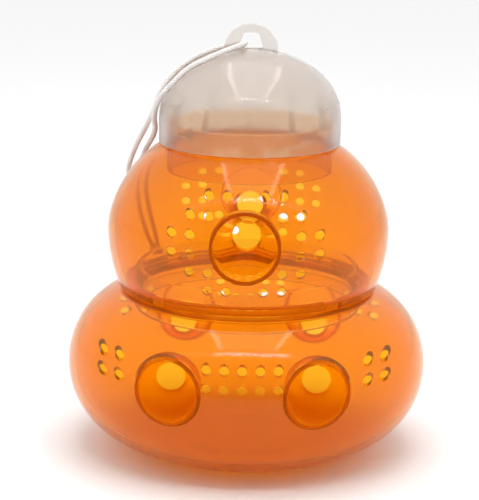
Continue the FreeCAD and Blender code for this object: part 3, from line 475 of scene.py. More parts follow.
def add_node(tree, kind, values=None, links=None):
    """Add a node with its settings and input links."""
    node = tree.nodes.new(kind)
    for key, value in (values or {}).items():
        if isinstance(key, int) or key in node.inputs:
            node.inputs[key].default_value = value
        else:
            setattr(node, key, value)
    for key, socket in (links or {}).items():
        tree.links.new(socket, node.inputs[key])
    return node


def new_material(name):
    """An empty node material and its tree."""
    material = bpy.data.materials.new(name)
    material.use_nodes = True
    material.node_tree.nodes.clear()
    return material, material.node_tree


def shade(tone, share=1.0):
    """A colour with its opacity, darkened to a share of its brightness."""
    return (*(share * channel for channel in tone), 1.0)


def dyed_polystyrene(name, depth, index):
    """Clear dyed polystyrene, injection moulded, with a share of the chambers' depth of dye.

    The dye sits in the wall, so the colour deepens where the eye looks along the wall. The
    polished mould leaves a hard gloss with a slow ripple and faint flow lines. A few parts in
    a hundred of the light scatter. A faint emission in the dye's colour is painted glow: the
    plastic gives off a little light with no lamp, most where the eye looks through many
    surfaces, so edges and hole walls glow.
    """
    material, tree = new_material(name)
    place = add_node(tree, "ShaderNodeTexCoord").outputs["Object"]
    # Ripple left by uneven cooling.
    ripple = add_node(tree, "ShaderNodeTexNoise",
                      {"Scale": per(25), "Detail": 1.0, "Roughness": 0.4},
                      {"Vector": place}).outputs["Fac"]
    # Flow lines.
    flow = add_node(tree, "ShaderNodeTexNoise",
                    {"Scale": per(3.03), "Detail": 2.0, "Roughness": 0.5},
                    {"Vector": place}).outputs["Fac"]
    gloss = add_node(tree, "ShaderNodeMapRange",
                     {"From Min": 0.35, "From Max": 0.65, "To Min": 0.04, "To Max": 0.07},
                     {"Value": flow})
    skin = [1 - (1 - channel) * depth for channel in colours().edge_glow]
    tint = add_node(tree, "ShaderNodeMixRGB",
                    {"Color1": shade(skin), "Color2": shade(skin, 0.95)}, {"Fac": ripple})
    bump = add_node(tree, "ShaderNodeBump", {"Strength": 0.12, "Distance": 0.6 * MM},
                    {"Height": ripple})
    # Share of each colour that one wall lets through, as an absorption per metre.
    losses = [-math.log(share) / sizes().chamber_wall * depth for share in colours().wall_light]
    density = max(losses) * 1.02
    absorb = add_node(tree, "ShaderNodeVolumeAbsorption",
                      {"Color": (*(1 - loss / density for loss in losses), 1.0),
                       "Density": density})
    # The emission is painted glow: the plastic gives off a little light of the dye's colour with no
    # lamp.
    shader = add_node(tree, "ShaderNodeBsdfPrincipled",
                      {"Transmission Weight": 0.93, "IOR": index,
                       "Emission Color": shade(colours().painted_dye_glow),
                       "Emission Strength": 0.05 * depth},
                      {"Base Color": tint.outputs["Color"], "Roughness": gloss.outputs["Result"],
                       "Normal": bump.outputs["Normal"]})
    add_node(tree, "ShaderNodeOutputMaterial", {},
             {"Surface": shader.outputs["BSDF"], "Volume": absorb.outputs["Volume"]})
    return material


def etched_polypropylene(name):
    """Natural polypropylene from an etched mould.

    Milky and waxy: what touches it from behind shows as a soft shape, and what is further
    behind is lost. The etching gives a fine grain and a broad dull sheen.
    """
    material, tree = new_material(name)
    place = add_node(tree, "ShaderNodeTexCoord").outputs["Object"]
    # Clouds in the milk.
    cloud = add_node(tree, "ShaderNodeTexNoise",
                     {"Scale": per(16.67), "Detail": 2.0, "Roughness": 0.5},
                     {"Vector": place}).outputs["Fac"]
    tone = colours().lid_tint
    milk = add_node(tree, "ShaderNodeMixRGB", {"Color1": shade(tone), "Color2": shade(tone, 0.93)},
                    {"Fac": cloud})
    # Etched grain.
    grain = add_node(tree, "ShaderNodeTexNoise",
                     {"Scale": per(0.357), "Detail": 1.0, "Roughness": 0.5}, {"Vector": place})
    rough = add_node(tree, "ShaderNodeMapRange", {"To Min": 0.3, "To Max": 0.38},
                     {"Value": cloud})
    bump = add_node(tree, "ShaderNodeBump", {"Strength": 0.06, "Distance": 0.1 * MM},
                    {"Height": grain.outputs["Fac"]})
    shader = add_node(tree, "ShaderNodeBsdfPrincipled",
                      {"Transmission Weight": 0.95, "IOR": 1.1, "Coat Weight": 0.5,
                       "Coat IOR": 1.49, "Coat Roughness": 0.08},
                      {"Base Color": milk.outputs["Color"], "Roughness": rough.outputs["Result"],
                       "Normal": bump.outputs["Normal"]})
    add_node(tree, "ShaderNodeOutputMaterial", {}, {"Surface": shader.outputs["BSDF"]})
    return material


def bleached_twine(name):
    """Bleached synthetic twine, four strands twisted together.

    Fine filaments run along each strand; they give it a soft sheen, and the colour is darkened in
    the small furrows between them as painted shade.
    """
    material, tree = new_material(name)
    line = add_node(tree, "ShaderNodeUVMap", {"uv_map": "strand"})
    # Bundles of filaments about 0.1 mm across, drawn coarser than one filament so they show.
    stretch = add_node(tree, "ShaderNodeMapping", {"Scale": (1.0, 12.0, 1.0)},
                       {"Vector": line.outputs["UV"]})
    fibre_and_shade = add_node(tree, "ShaderNodeTexNoise", {"Scale": 3.0, "Detail": 3.0, "Roughness": 0.6},
                     {"Vector": stretch.outputs["Vector"]}).outputs["Fac"]
    tone = colours().cord_tint
    # The colour darkens where the fibre noise is low, just where the bump sinks: partly the fibres'
    # own uneven tone, partly painted shade in the furrows.
    tint = add_node(tree, "ShaderNodeMixRGB", {"Color1": shade(tone, 0.85), "Color2": shade(tone)},
                    {"Fac": fibre_and_shade})
    bump = add_node(tree, "ShaderNodeBump", {"Strength": 0.5, "Distance": 0.1 * MM},
                    {"Height": fibre_and_shade})
    shader = add_node(tree, "ShaderNodeBsdfPrincipled",
                      {"Roughness": 0.55, "IOR": 1.5, "Sheen Weight": 0.3, "Sheen Roughness": 0.5},
                      {"Base Color": tint.outputs["Color"], "Normal": bump.outputs["Normal"]})
    add_node(tree, "ShaderNodeOutputMaterial", {}, {"Surface": shader.outputs["BSDF"]})
    return material


def painted_board(name):
    """Pale painted board, rolled, so it has a very fine tooth and no gloss."""
    material, tree = new_material(name)
    place = add_node(tree, "ShaderNodeTexCoord")
    tooth = add_node(tree, "ShaderNodeTexNoise", {"Scale": per(2), "Detail": 2.0},
                     {"Vector": place.outputs["Object"]})
    tone = colours().floor_tint
    paint = add_node(tree, "ShaderNodeMixRGB",
                     {"Color1": shade(tone), "Color2": shade(tone, 0.985)},
                     {"Fac": tooth.outputs["Fac"]})
    shader = add_node(tree, "ShaderNodeBsdfPrincipled",
                      {"Roughness": 0.9, "Specular IOR Level": 0.1},
                      {"Base Color": paint.outputs["Color"]})
    add_node(tree, "ShaderNodeOutputMaterial", {}, {"Surface": shader.outputs["BSDF"]})
    return material


FINISHES = {
    # The chambers, in the full depth of dye.
    "moulded_clear_polystyrene": (dyed_polystyrene, 1.0, 1.3),
    # The funnels: walls half as thick, in the same depth of dye; their edges bend light less.
    "moulded_thin_polystyrene": (dyed_polystyrene, 1.0, 1.07),
    # The neck ring, moulded in a paler shot of the same plastic.
    "moulded_neck_polystyrene": (dyed_polystyrene, 0.35, 1.05),
    # The collar, moulded in the palest shot.
    "moulded_pale_polystyrene": (dyed_polystyrene, 0.1, 1.05),
    "frosted_natural_polypropylene": (etched_polypropylene,),
    "twisted_bleached_twine": (bleached_twine,),
    "matte_painted_board": (painted_board,),
}


def material_of(finish):
    """The material of a finish, made once."""
    maker, *settings = FINISHES[finish]
    return bpy.data.materials.get(finish) or maker(finish, *settings)


# Stage ----------------------------------------------------------------------------------

CAMERA_PLACE = (0.01590, -0.76539, 0.26508)
CAMERA_RIGHT = (0.99947, 0.02892, 0.01491)
CAMERA_UP = (-0.02118, 0.23035, 0.97288)
CAMERA_BACK = (0.02470, -0.97268, 0.23084)
CAMERA_LENS = 135.5
FLOOR_REACH = 8.0
FLOOR_STEPS = 96
# The floor lies a hair below the foot, so the two flats never coincide.
FLOOR_DROP = 0.3


def area_light(name, place, aim, width, height, power):
    """A rectangular soft light that faces a point; returns its node tree and its places
    across and along, each from 0 to 1."""
    data = bpy.data.lights.new(name, "AREA")
    data.shape = "RECTANGLE"
    data.size = width
    data.size_y = height
    data.energy = power
    item = bpy.data.objects.new(name, data)
    bpy.context.scene.collection.objects.link(item)
    turn = (Vector(aim) - Vector(place)).to_track_quat("-Z", "Y")
    item.matrix_world = Matrix.Translation(place) @ turn.to_matrix().to_4x4()
    data.use_nodes = True
    tree = data.node_tree
    tree.nodes.clear()
    spot = add_node(tree, "ShaderNodeNewGeometry")
    parts = add_node(tree, "ShaderNodeSeparateXYZ", {}, {"Vector": spot.outputs["Parametric"]})
    return tree, parts.outputs["X"], parts.outputs["Y"]


def beyond(tree, value, reach):
    """0 in a band in the middle of a light, 1 outside it."""
    shifted = add_node(tree, "ShaderNodeMath", {"operation": "SUBTRACT", 1: 0.5}, {0: value})
    size = add_node(tree, "ShaderNodeMath", {"operation": "ABSOLUTE"}, {0: shifted.outputs[0]})
    return add_node(tree, "ShaderNodeMath", {"operation": "GREATER_THAN", 1: reach},
                    {0: size.outputs[0]}).outputs[0]


def shine(tree, strength):
    """End a light's nodes with this strength."""
    glow = add_node(tree, "ShaderNodeEmission", {}, {"Strength": strength})
    add_node(tree, "ShaderNodeOutputLight", {}, {0: glow.outputs[0]})


class TRAP_OT_stage(Operator):
    """Camera, pale floor and soft lights"""
    bl_idname = "trap.stage"
    bl_label = "Stage"

    def execute(self, context):
        scene = context.scene
        data = bpy.data.cameras.new("camera")
        data.lens = CAMERA_LENS
        data.sensor_width = 36.0
        data.clip_start = 0.01
        data.clip_end = 100.0
        camera = bpy.data.objects.new("camera", data)
        scene.collection.objects.link(camera)
        turn = Matrix((CAMERA_RIGHT, CAMERA_UP, CAMERA_BACK)).transposed()
        camera.matrix_world = Matrix.Translation(CAMERA_PLACE) @ turn.normalized().to_4x4()
        scene.camera = camera

        turns = [2 * math.pi * step / FLOOR_STEPS for step in range(FLOOR_STEPS)]
        ring = [(FLOOR_REACH * math.cos(turn) / MM, FLOOR_REACH * math.sin(turn) / MM, -FLOOR_DROP)
                for turn in turns]
        floor = make_object("floor", ring, [list(range(FLOOR_STEPS))])
        floor.data.materials.append(material_of("matte_painted_board"))

        scene.world = bpy.data.worlds.new("soft_room")
        scene.world.use_nodes = True
        tree = scene.world.node_tree
        tree.nodes.clear()
        # A white room with a dimmer wall in front, which keeps the gloss from greying the dye.
        look = add_node(tree, "ShaderNodeTexCoord")
        parts = add_node(tree, "ShaderNodeSeparateXYZ", {}, {"Vector": look.outputs["Generated"]})
        level = add_node(tree, "ShaderNodeMapRange",
                         {"From Min": -0.8, "From Max": -0.35, "To Min": 0.3, "To Max": 1.06},
                         {"Value": parts.outputs["Y"]})
        room = add_node(tree, "ShaderNodeBackground", {"Color": shade((1.0, 1.0, 1.0))},
                        {"Strength": level.outputs["Result"]})
        add_node(tree, "ShaderNodeOutputWorld", {}, {"Surface": room.outputs["Background"]})
        scene.view_settings.view_transform = "Standard"

        # Overhead box: a dim sheet between two brighter side bars.
        tree, across, _ = area_light("overhead_box", (0.02, 0.06, 0.75), (0.02, 0.0601, 0.0),
                                     0.40, 0.84, 6.0)
        level = add_node(tree, "ShaderNodeMapRange", {"To Min": 0.2, "To Max": 1.0},
                         {"Value": beyond(tree, across, 0.42)})
        shine(tree, level.outputs["Result"])

        # Row of small lamps along the front edge of the box, with a plain dim strip at each end.
        tree, across, along = area_light("lamp_row", (0.06, -0.45, 0.75), (0.06, -0.05, 0.1),
                                         1.6, 0.07, 7.0)
        spread = add_node(tree, "ShaderNodeCombineXYZ", {}, {"X": across, "Y": along})
        scaled = add_node(tree, "ShaderNodeMapping", {"Scale": (90.0, 4.5, 1.0)},
                          {"Vector": spread.outputs[0]})
        lamps = add_node(tree, "ShaderNodeTexVoronoi", {"Scale": 1.0, "Randomness": 0.35},
                         {"Vector": scaled.outputs[0]})
        lit = add_node(tree, "ShaderNodeMath", {"operation": "LESS_THAN", 1: 0.27},
                       {0: lamps.outputs["Distance"]})
        bright = add_node(tree, "ShaderNodeMapRange", {"To Min": 0.06, "To Max": 3.4},
                          {"Value": lit.outputs[0]})
        level = add_node(tree, "ShaderNodeMix", {"B": 0.05},
                         {"Factor": beyond(tree, across, 0.19), "A": bright.outputs["Result"]})
        shine(tree, level.outputs["Result"])
        return {"FINISHED"}


# Cord -----------------------------------------------------------------------------------

def on_dome(across, depth, rest=1.7):
    """A point where a cord's centre rests on the dome."""
    offset = LID_RADIUS - LID_KNUCKLE
    crown_height = LID_TOP - LID_CROWN
    knuckle_height = crown_height + math.sqrt((LID_CROWN - LID_KNUCKLE) ** 2 - offset ** 2)
    reach = math.hypot(across, depth)
    if reach < offset * (LID_CROWN + rest) / (LID_CROWN - LID_KNUCKLE):
        height = crown_height + math.sqrt((LID_CROWN + rest) ** 2 - reach ** 2)
    else:
        height = knuckle_height + math.sqrt((LID_KNUCKLE + rest) ** 2 - (reach - offset) ** 2)
    return across, depth, height


KNOT = (-43.3, 42.2, 72.0)
KNOT_REACH = 3.6
KNOT_RADIUS = 1.15
KNOT_STEPS = 120
KNOT_SIDES = 14
CORD_STEP = 0.3
# Four strands, each of this share of the cord's radius, a quarter turn apart.
STRAND_SHARE = 0.43
STRAND_SIDES = 8
RING_PASS = 2.6
RING_SIDE = 3.2
ROUTE = [
    (KNOT[0] - 0.9, KNOT[1] - 1.0, KNOT[2] + 1.2), (-46.5, 39.5, 78.0), (-50.5, 37.0, 92.0),
    (-53.9, 34.0, 109.0), (-50.0, 24.2, 120.9), (-43.9, 13.6, 132.7), (-39.6, 6.6, 142.0),
    (-37.1, 5.0, 149.5), on_dome(-31.8, 7.0), on_dome(-25.0, 8.4), on_dome(-17.0, 8.8),
    on_dome(-9.6, 6.6), (-RING_PASS, RING_SIDE, LID_TOP + 2.1),
    (-RING_PASS, -RING_SIDE, LID_TOP + 2.1),
    on_dome(-10.3, -8.0), on_dome(-18.5, -12.0), on_dome(-25.4, -11.6), on_dome(-30.9, -13.2),
    (-37.3, -8.8, 147.8), (-40.1, 2.4, 139.0), (-39.6, 14.0, 130.6), (-46.2, 27.6, 119.2),
    (-49.0, 37.6, 107.0), (-46.5, 41.4, 92.0), (-43.0, 44.4, 78.0),
    (KNOT[0] + 0.9, KNOT[1] + 1.0, KNOT[2] + 1.2),
]


def spline_points(route, resolution=24):
    """Points along the route's smooth line, in millimetres."""
    data = bpy.data.curves.new("route", "CURVE")
    data.dimensions = "3D"
    spline = data.splines.new("NURBS")
    spline.points.add(len(route) - 1)
    for point, place in zip(spline.points, route):
        point.co = (*(Vector(place) * MM), 1.0)
    spline.order_u = 3
    spline.use_endpoint_u = True
    spline.resolution_u = resolution
    item = bpy.data.objects.new("route", data)
    bpy.context.scene.collection.objects.link(item)
    graph = bpy.context.evaluated_depsgraph_get()
    mesh = bpy.data.meshes.new_from_object(item.evaluated_get(graph))
    points = np.array([vertex.co for vertex in mesh.vertices]) / MM
    bpy.data.objects.remove(item)
    bpy.data.meshes.remove(mesh)
    bpy.data.curves.remove(data)
    return points


def even_steps(points, step):
    """The line again, with points a step apart."""
    lengths = np.r_[0, np.cumsum(np.linalg.norm(np.diff(points, axis=0), axis=1))]
    wanted = np.linspace(0, lengths[-1], max(2, int(lengths[-1] / step)) + 1)
    return np.stack([np.interp(wanted, lengths, points[:, axis]) for axis in range(3)], 1), wanted


def carried_frames(points):
    """Two directions across the line at each point, carried along without twisting."""
    tangents = np.gradient(points, axis=0)
    tangents /= np.linalg.norm(tangents, axis=1)[:, None]
    side = np.cross(tangents[0], (0, 0, 1.0))
    if np.linalg.norm(side) < 1e-3:
        side = np.cross(tangents[0], (0, 1.0, 0))
    first, second = [], []
    for tangent in tangents:
        side = side - tangent * (side @ tangent)
        side = side / np.linalg.norm(side)
        first.append(side)
        second.append(np.cross(tangent, side))
    return np.array(first), np.array(second)


def tube(points, radius, sides, closed=False):
    """Vertices, faces and the (along, round) place of each corner for a tube."""
    first, second = carried_frames(points)
    if closed:
        turn = math.atan2(first[0] @ second[-1], first[0] @ first[-1])
        angles = np.linspace(0, turn, len(points))[:, None]
        first, second = (first * np.cos(angles) + second * np.sin(angles),
                         second * np.cos(angles) - first * np.sin(angles))
    vertices = []
    for point, one, two in zip(points, first, second):
        for side in range(sides):
            angle = 2 * math.pi * side / sides
            vertices.append(point + (one * math.cos(angle) + two * math.sin(angle)) * radius)
    rings = len(points)
    faces = quads(rings, sides, closed)
    places = [[(ring, side), (ring, side + 1), (ring + 1, side + 1), (ring + 1, side)]
              for ring in range(rings if closed else rings - 1) for side in range(sides)]
    if not closed:
        faces += caps(rings, sides)
        places += [[(0, side) for side in range(sides)][::-1],
                   [(rings, side) for side in range(sides)]]
    return vertices, faces, places


def strand_object(name, tubes, sides):
    """One mesh from several tubes, with a UV map: millimetres along, turns round."""
    item = gather(name, [(vertices, faces) for vertices, faces, _ in tubes])
    layer = item.data.uv_layers.new(name="strand")
    corners = [corner for _, _, places in tubes for face in places for corner in face]
    layer.data.foreach_set("uv", [value for ring, side in corners
                                  for value in (ring * CORD_STEP, side / sides)])
    smooth_shade(item, sharp=50.0)
    return item


class TRAP_OT_cord(Operator):
    """Twisted cord looped through the lid's ring, and the knot that joins its ends"""
    bl_idname = "trap.cord"
    bl_label = "Hanging cord"

    def execute(self, context):
        points, along = even_steps(spline_points(ROUTE), CORD_STEP)
        first, second = carried_frames(points)
        radius = sizes().cord_diameter / MM / 2
        strand = radius * STRAND_SHARE
        tubes = []
        for quarter in range(4):
            angle = 2 * math.pi * along * MM / sizes().cord_lay + math.pi / 2 * quarter
            swing = first * np.cos(angle)[:, None] + second * np.sin(angle)[:, None]
            tubes.append(tube(points + swing * (radius - strand), strand, STRAND_SIDES))
        cord = strand_object("twisted_cord", tubes, STRAND_SIDES)
        turns = np.linspace(0, 2 * math.pi, KNOT_STEPS, endpoint=False)
        trefoil = np.stack([np.sin(turns) + 2 * np.sin(2 * turns),
                            np.cos(turns) - 2 * np.cos(2 * turns), -1.35 * np.sin(3 * turns)], 1)
        loop = np.array(KNOT) + trefoil * (KNOT_REACH - KNOT_RADIUS) / 3.0
        knot = strand_object("overhand_knot", [tube(loop, KNOT_RADIUS, KNOT_SIDES, closed=True)],
                             KNOT_SIDES)
        place_piece(cord, "lid", ["hanging_cord"], "twisted_bleached_twine")
        place_piece(knot, "lid", ["cord_knot"], "twisted_bleached_twine")
        return {"FINISHED"}


# Chambers -------------------------------------------------------------------------------

def vent_places(vents):
    """Centre of each air hole, (across, level)."""
    places = {(sign * column * vents["pitch"], vents["level"] + row * vents["pitch"])
              for row, columns in vents["rows"].items() for column in columns for sign in (-1, 1)}
    return sorted(places)


def make_chamber(body, shape, profile, corners, closed, vents, funnel, notches=()):
    """Turn one chamber's wall, cut its openings and place it.

    The corners are the profile's, each with how far its rounding reaches. A fine groove
    marks where the front and back mouldings meet.
    """
    for corner, cut in corners:
        profile = soften(profile, corner, cut, closed)
    least, low, high = shape["groove"]

    def parting_line(radius, height, angle):
        on_seam = min(abs(angle), abs(angle - math.pi)) < 1e-6
        return SEAM_DEPTH if on_seam and radius > least and low < height < high else 0.0

    item = lathe(f"{body}_walls", profile, closed,
                 round_angles(sizes().segments, (0.0, math.pi)), parting_line)
    tubes = [(across, level, sizes().vent_radius / MM) for across, level in vent_places(vents)]
    tubes += [(side, funnel["level"], funnel["mouth"] + sizes().funnel_wall / MM + GLUE_GAP)
              for side in sorted({-funnel["side"], funnel["side"]})]
    combine(item, gather("cutter", [along_y(*hole) for hole in tubes]), "DIFFERENCE")
    if notches:
        combine(item, gather("notches", notches), "DIFFERENCE")
    smooth_shade(item, profile, closed, tubes)
    level = body.split("_")[0]
    place_piece(item, body, [f"{level}_front_shell", f"{level}_back_shell"],
                "moulded_clear_polystyrene")


class TRAP_OT_chambers(Operator):
    """Clear orange walls of both chambers, each welded from a front and a back moulding"""
    bl_idname = "trap.chambers"
    bl_label = "Chambers"

    def execute(self, context):
        wall = sizes().chamber_wall / MM
        hole = COLLAR_RADIUS + GLUE_GAP
        top = LOWER["top"][1]
        inner = clip(clip(outline(LOWER, wall), 1, wall, 1), -1, top - wall, 1)
        profile = [(0.0, 0.0), *outline(LOWER), (hole, top), (hole, top - wall), *inner[::-1],
                   (0.0, wall)]
        corners = [(LOWER["top"], 1.0), ((hole, top), 0.4), ((hole, top - wall), 0.4),
                   (inner[-1], 0.8), (inner[0], 4.0), (LOWER["foot"], 4.0)]
        make_chamber("lower_chamber", LOWER, profile, corners, False, LOWER_VENTS, LOWER_FUNNEL)

        bore = COLLAR_RADIUS + RUN_GAP
        neck = NECK_RADIUS + GLUE_GAP
        foot, top = UPPER["foot"][1], UPPER["top"][1]
        inner = clip(clip(outline(UPPER, wall), 1, foot + wall, 1), 1, neck, 0)
        profile = [(bore, foot), *outline(UPPER), (neck, top), *inner[::-1], (bore, foot + wall)]
        corners = [(UPPER["foot"], 1.0), (UPPER["top"], 0.8), ((neck, top), 0.3), (inner[-1], 0.3),
                   (inner[0], 0.8), ((bore, foot), 0.4), ((bore, foot + wall), 0.4)]
        sweep = LUG_SWEEP + NOTCH_PLAY
        notches = [sector(turn - sweep / 2, sweep, COLLAR_RADIUS - COLLAR_WALL,
                          COLLAR_RADIUS + COLLAR_REACH + RUN_GAP, foot - 2.1, foot + wall + 2.0)
                   for turn in (-135.0, -45.0, 45.0, 135.0)]
        make_chamber("upper_chamber", UPPER, profile, corners, True, UPPER_VENTS, UPPER_FUNNEL,
                     notches)
        return {"FINISHED"}


# Funnels --------------------------------------------------------------------------------

def make_funnel(name, funnel, shape, side, back):
    """A bowl and a cone in one wall; its rounded lip follows the chamber's side."""
    wall = sizes().funnel_wall / MM
    across = side * funnel["side"]
    surface = math.sqrt(shape["radius"] ** 2 - across ** 2)
    bowl, outlet = surface - funnel["bowl"], surface - funnel["depth"]
    radii, heights = zip(*outline(shape))
    angles = np.linspace(0, 2 * math.pi, FUNNEL_STEPS, endpoint=False)

    def ring_at(radius):
        return across + radius * np.cos(angles), funnel["level"] + radius * np.sin(angles)

    mouth = funnel["mouth"]
    section = [(mouth, bowl), (OUTLET_RADIUS, outlet), (OUTLET_RADIUS + wall, outlet),
               (mouth + wall, bowl)]
    # The rounding ends below the lowest part of the lip.
    rounding = min(4.0, 0.36 * funnel["bowl"])
    inside = soften(soften([(mouth, bowl + 6), *section[:3]], section[0], rounding),
                    section[1], 0.35)
    outside = soften(soften([*section[1:], (mouth + wall, bowl + 6)], section[3], rounding),
                     section[2], 0.35)
    rings = []
    for turn in np.linspace(0, math.pi, 9):
        radius = mouth + wall / 2 + math.cos(turn) * wall / 2
        xs, zs = ring_at(radius)
        reach = np.interp(zs, heights, radii) + FUNNEL_LIP
        rings.append((radius, np.sqrt(reach ** 2 - xs ** 2) - wall / 2 * (1 - math.sin(turn))))
    for radius, depth in inside[1:-1] + outside[1:-1]:
        rings.append((radius, np.full(FUNNEL_STEPS, depth)))
    vertices = []
    sign = 1 if back else -1
    for radius, depths in rings:
        xs, zs = ring_at(radius)
        vertices += [(-sign * x, sign * y, z) for x, y, z in zip(xs, depths, zs)]
    item = gather(name, [(vertices, quads(len(rings), FUNNEL_STEPS, True))])
    smooth_shade(item, sharp=50.0)
    return item


class TRAP_OT_funnels(Operator):
    """Entry funnels, each pressed into its hole from outside"""
    bl_idname = "trap.funnels"
    bl_label = "Entry funnels"

    def execute(self, context):
        rows = [("upper_front", 0), ("upper_back", 0), ("lower_front_left", -1),
                ("lower_front_right", 1), ("lower_back_left", 1), ("lower_back_right", -1)]
        for place, side in rows:
            upper = place.startswith("upper")
            funnel, shape = (UPPER_FUNNEL, UPPER) if upper else (LOWER_FUNNEL, LOWER)
            item = make_funnel(f"{place}_funnel_clear", funnel, shape, side, "back" in place)
            place_piece(item, "upper_chamber" if upper else "lower_chamber", [f"{place}_funnel"],
                        "moulded_thin_polystyrene")
        return {"FINISHED"}


# Neck ring and waist collar --------------------------------------------------------------

def rounded_ring(name, corners, cut, lugs, body, node, finish):
    """Turn a ring from a profile with softened corners, add its lugs and place it."""
    profile = list(corners)
    for corner in corners:
        profile = soften(profile, corner, cut, True, 4)
    item = lathe(name, profile, True)
    combine(item, gather("lugs", lugs), "UNION")
    smooth_shade(item, profile, True)
    place_piece(item, body, [node], finish)


class TRAP_OT_rings(Operator):
    """Neck ring under the lid and the collar that joins the chambers"""
    bl_idname = "trap.rings"
    bl_label = "Neck ring and collar"

    def execute(self, context):
        low, high = NECK_SPAN
        inside = NECK_RADIUS - NECK_WALL
        corners = [(inside, low), (NECK_RADIUS, low), (NECK_RADIUS, high), (inside, high)]
        travelled = RAMP_SWEEP - STOP_SWEEP - LUG_PLAY
        lug_low = RAMP_LOW + RAMP_RISE * travelled / RAMP_SWEEP + RUN_GAP
        lug_start = FRONT + RAMP_START + travelled - LUG_SWEEP
        outside = LID_RADIUS - sizes().lid_wall / MM - RUN_GAP
        lugs = [sector(lug_start + 90 * turn, LUG_SWEEP, NECK_RADIUS - NECK_WALL / 2, outside,
                       lug_low, lug_low + LUG_HEIGHT) for turn in range(4)]
        rounded_ring("neck_ring_clear", corners, 0.5, lugs, "upper_chamber", "neck_ring",
                     "moulded_neck_polystyrene")

        low, high = COLLAR_SPAN
        inside = COLLAR_RADIUS - COLLAR_WALL
        reach = COLLAR_RADIUS + COLLAR_REACH
        seat = LOWER["top"][1] - sizes().chamber_wall / MM - GLUE_GAP
        corners = [(inside, low), (COLLAR_RADIUS, low), (COLLAR_RADIUS, seat - LUG_HEIGHT),
                   (reach, seat - LUG_HEIGHT), (reach, seat), (COLLAR_RADIUS, seat),
                   (COLLAR_RADIUS, high), (inside, high)]
        lug_low = UPPER["foot"][1] + sizes().chamber_wall / MM + RUN_GAP
        lugs = [sector(FRONT - 15 - LUG_SWEEP / 2 + 90 * turn, LUG_SWEEP,
                       COLLAR_RADIUS - COLLAR_WALL / 2, reach, lug_low, lug_low + LUG_HEIGHT)
                for turn in range(4)]
        rounded_ring("waist_collar_clear", corners, 0.4, lugs, "lower_chamber", "waist_collar",
                     "moulded_pale_polystyrene")
        return {"FINISHED"}


# Lid ------------------------------------------------------------------------------------

def dome(inset):
    """Points of the dome's side from the rim to the axis."""
    radius, knuckle, crown = LID_RADIUS - inset, LID_KNUCKLE - inset, LID_CROWN - inset
    across = radius - knuckle
    crown_height = LID_TOP - inset - crown
    height = crown_height + math.sqrt((crown - knuckle) ** 2 - across ** 2)
    join = math.atan2(height - crown_height, across)
    points = [(radius, LID_RIM + (height - LID_RIM) * share) for share in (0, 0.25, 0.5, 0.75)]
    points += arc_points((across, height), knuckle, 0.0, join, 1.5)
    points += arc_points((0.0, crown_height), crown, join, math.pi / 2, 1.5)[1:]
    points[-1] = (0.0, points[-1][1])
    return points


def ring_tab():
    """The upright hanging ring with rounded edges; its foot goes down into the dome."""
    spring = LID_TOP - TAB_THICK / 4
    foot = LID_TOP - TAB_ROOT
    eye_middle = (EYE_LOW + EYE_HIGH) / 2
    outer = [(-TAB_ARCH, foot), (TAB_ARCH, foot)] + [
        (TAB_ARCH * math.cos(a), spring + TAB_ARCH * math.sin(a))
        for a in np.linspace(0, math.pi, 49)]
    eye = [(-EYE_FOOT_HALF, EYE_LOW), (EYE_FOOT_HALF, EYE_LOW), (EYE_TOP_HALF, EYE_HIGH),
           (-EYE_TOP_HALF, EYE_HIGH)]
    hole = list(eye)
    for corner in eye:
        hole = soften(hole, corner, 1.3, True, 5)

    def cast(points, angle):
        """Where a line from the hole's middle leaves a closed outline."""
        dx, dz = math.cos(angle), math.sin(angle)
        best = math.inf
        for (x0, z0), (x1, z1) in zip(points, points[1:] + points[:1]):
            ex, ez = x1 - x0, z1 - z0
            cross = dx * ez - dz * ex
            if abs(cross) < 1e-12:
                continue
            far = (x0 * ez - (z0 - eye_middle) * ex) / cross
            share = (x0 * dz - (z0 - eye_middle) * dx) / cross
            if far > 0 and -1e-9 <= share <= 1 + 1e-9:
                best = min(best, far)
        return Vector((dx * best, eye_middle + dz * best))

    half = TAB_THICK / 2
    vertices = []
    for step in range(TAB_STEPS):
        angle = 2 * math.pi * (step + 0.5) / TAB_STEPS
        out, inn = cast(outer, angle), cast(hole, angle)
        way = (out - inn).normalized()
        ring = []
        # Round the edges of both outlines with four steps each.
        for centre, sign in ((out - way * TAB_EDGE, 1), (inn + way * TAB_EDGE, -1)):
            for turn in np.linspace(0, math.pi / 2, 4):
                aside, up = math.sin(turn), math.cos(turn)
                if sign < 0:
                    aside, up = up, aside
                spot = centre + way * sign * TAB_EDGE * aside
                ring.append((spot.x, half - TAB_EDGE + TAB_EDGE * up, spot.y))
        front = [(x, -y, z) for x, y, z in ring]
        # Outer edge front to back, then inner edge back to front.
        vertices += front[:4] + ring[:4][::-1] + ring[4:][::-1] + front[4:]
    return vertices, quads(TAB_STEPS, 16, True)


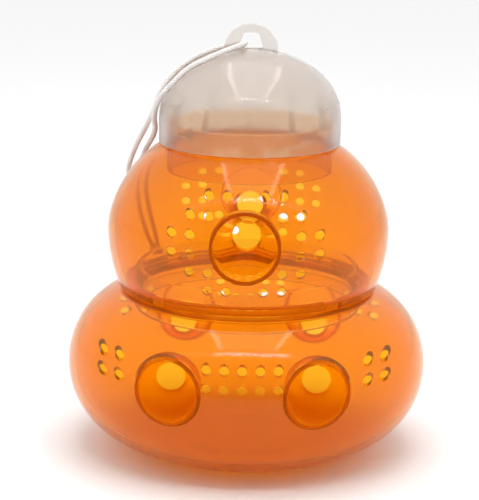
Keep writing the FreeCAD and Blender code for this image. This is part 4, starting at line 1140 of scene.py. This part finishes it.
class TRAP_OT_lid(Operator):
    """Frosted lid with its hanging ring, catch ramps, stops and pressing ribs"""
    bl_idname = "trap.lid"
    bl_label = "Lid"

    def execute(self, context):
        wall = sizes().lid_wall / MM
        outer, inner = dome(0.0), dome(wall)
        lid = lathe("frosted_lid", [(0.0, LID_RIM)] + outer, False)
        combine(lid, gather("tab", [ring_tab()]), "UNION")
        below = LID_RIM - 2.0
        hollow = lathe("cavity", [(0.0, below), (inner[0][0], below)] + inner, False)
        combine(lid, hollow, "DIFFERENCE")
        near, far = NECK_RADIUS + RUN_GAP, LID_RADIUS - wall / 2
        starts = [FRONT + RAMP_START + 90 * turn for turn in range(4)]
        ramps = [sector(start, RAMP_SWEEP, near, far, RAMP_LOW - RAMP_THICK, RAMP_LOW, RAMP_RISE,
                        24) for start in starts]
        stops = [sector(start + RAMP_SWEEP - STOP_SWEEP, STOP_SWEEP, near, far,
                        RAMP_LOW + RAMP_RISE - RAMP_THICK - 0.2, NECK_SPAN[1] + RAMP_THICK)
                 for start in starts]
        ribs = [sector(FRONT - RIB_SWEEP / 2 + 360 / RIB_COUNT * turn, RIB_SWEEP,
                       NECK_RADIUS - wall, far, *RIB_SPAN) for turn in range(RIB_COUNT)]
        for name, parts in (("ramps", ramps), ("stops", stops), ("ribs", ribs)):
            combine(lid, gather(name, parts), "UNION")
        profile = [(inner[0][0], LID_RIM), *outer, (0.0, inner[-1][1]), *inner[::-1]]
        smooth_shade(lid, profile, True)
        place_piece(lid, "lid", ["lid"], "frosted_natural_polypropylene")
        return {"FINISHED"}


class TRAP_PT_panel(Panel):
    """Buttons that build the trap piece by piece"""
    bl_label = "Hanging insect trap"
    bl_space_type = "VIEW_3D"
    bl_region_type = "UI"
    bl_category = "Trap"

    def draw(self, context):
        for group in (context.scene.trap_sizes, context.scene.trap_colours):
            for name in group.__annotations__:
                self.layout.prop(group, name)
        for operator in OPERATORS:
            self.layout.operator(operator.bl_idname)


OPERATORS = (TRAP_OT_stage, TRAP_OT_cord, TRAP_OT_chambers, TRAP_OT_funnels, TRAP_OT_rings,
             TRAP_OT_lid)
CLASSES = (TrapSizes, TrapColours, *OPERATORS, TRAP_PT_panel)


def register():
    for kind in CLASSES:
        bpy.utils.register_class(kind)
    bpy.types.Scene.trap_sizes = PointerProperty(type=TrapSizes)
    bpy.types.Scene.trap_colours = PointerProperty(type=TrapColours)


def unregister():
    del bpy.types.Scene.trap_colours
    del bpy.types.Scene.trap_sizes
    for kind in reversed(CLASSES):
        bpy.utils.unregister_class(kind)


def main():
    register()
    bpy.ops.trap.stage()
    bpy.ops.trap.cord()
    bpy.ops.trap.chambers()
    bpy.ops.trap.funnels()
    bpy.ops.trap.rings()
    bpy.ops.trap.lid()


if __name__ == "__main__":
    main()
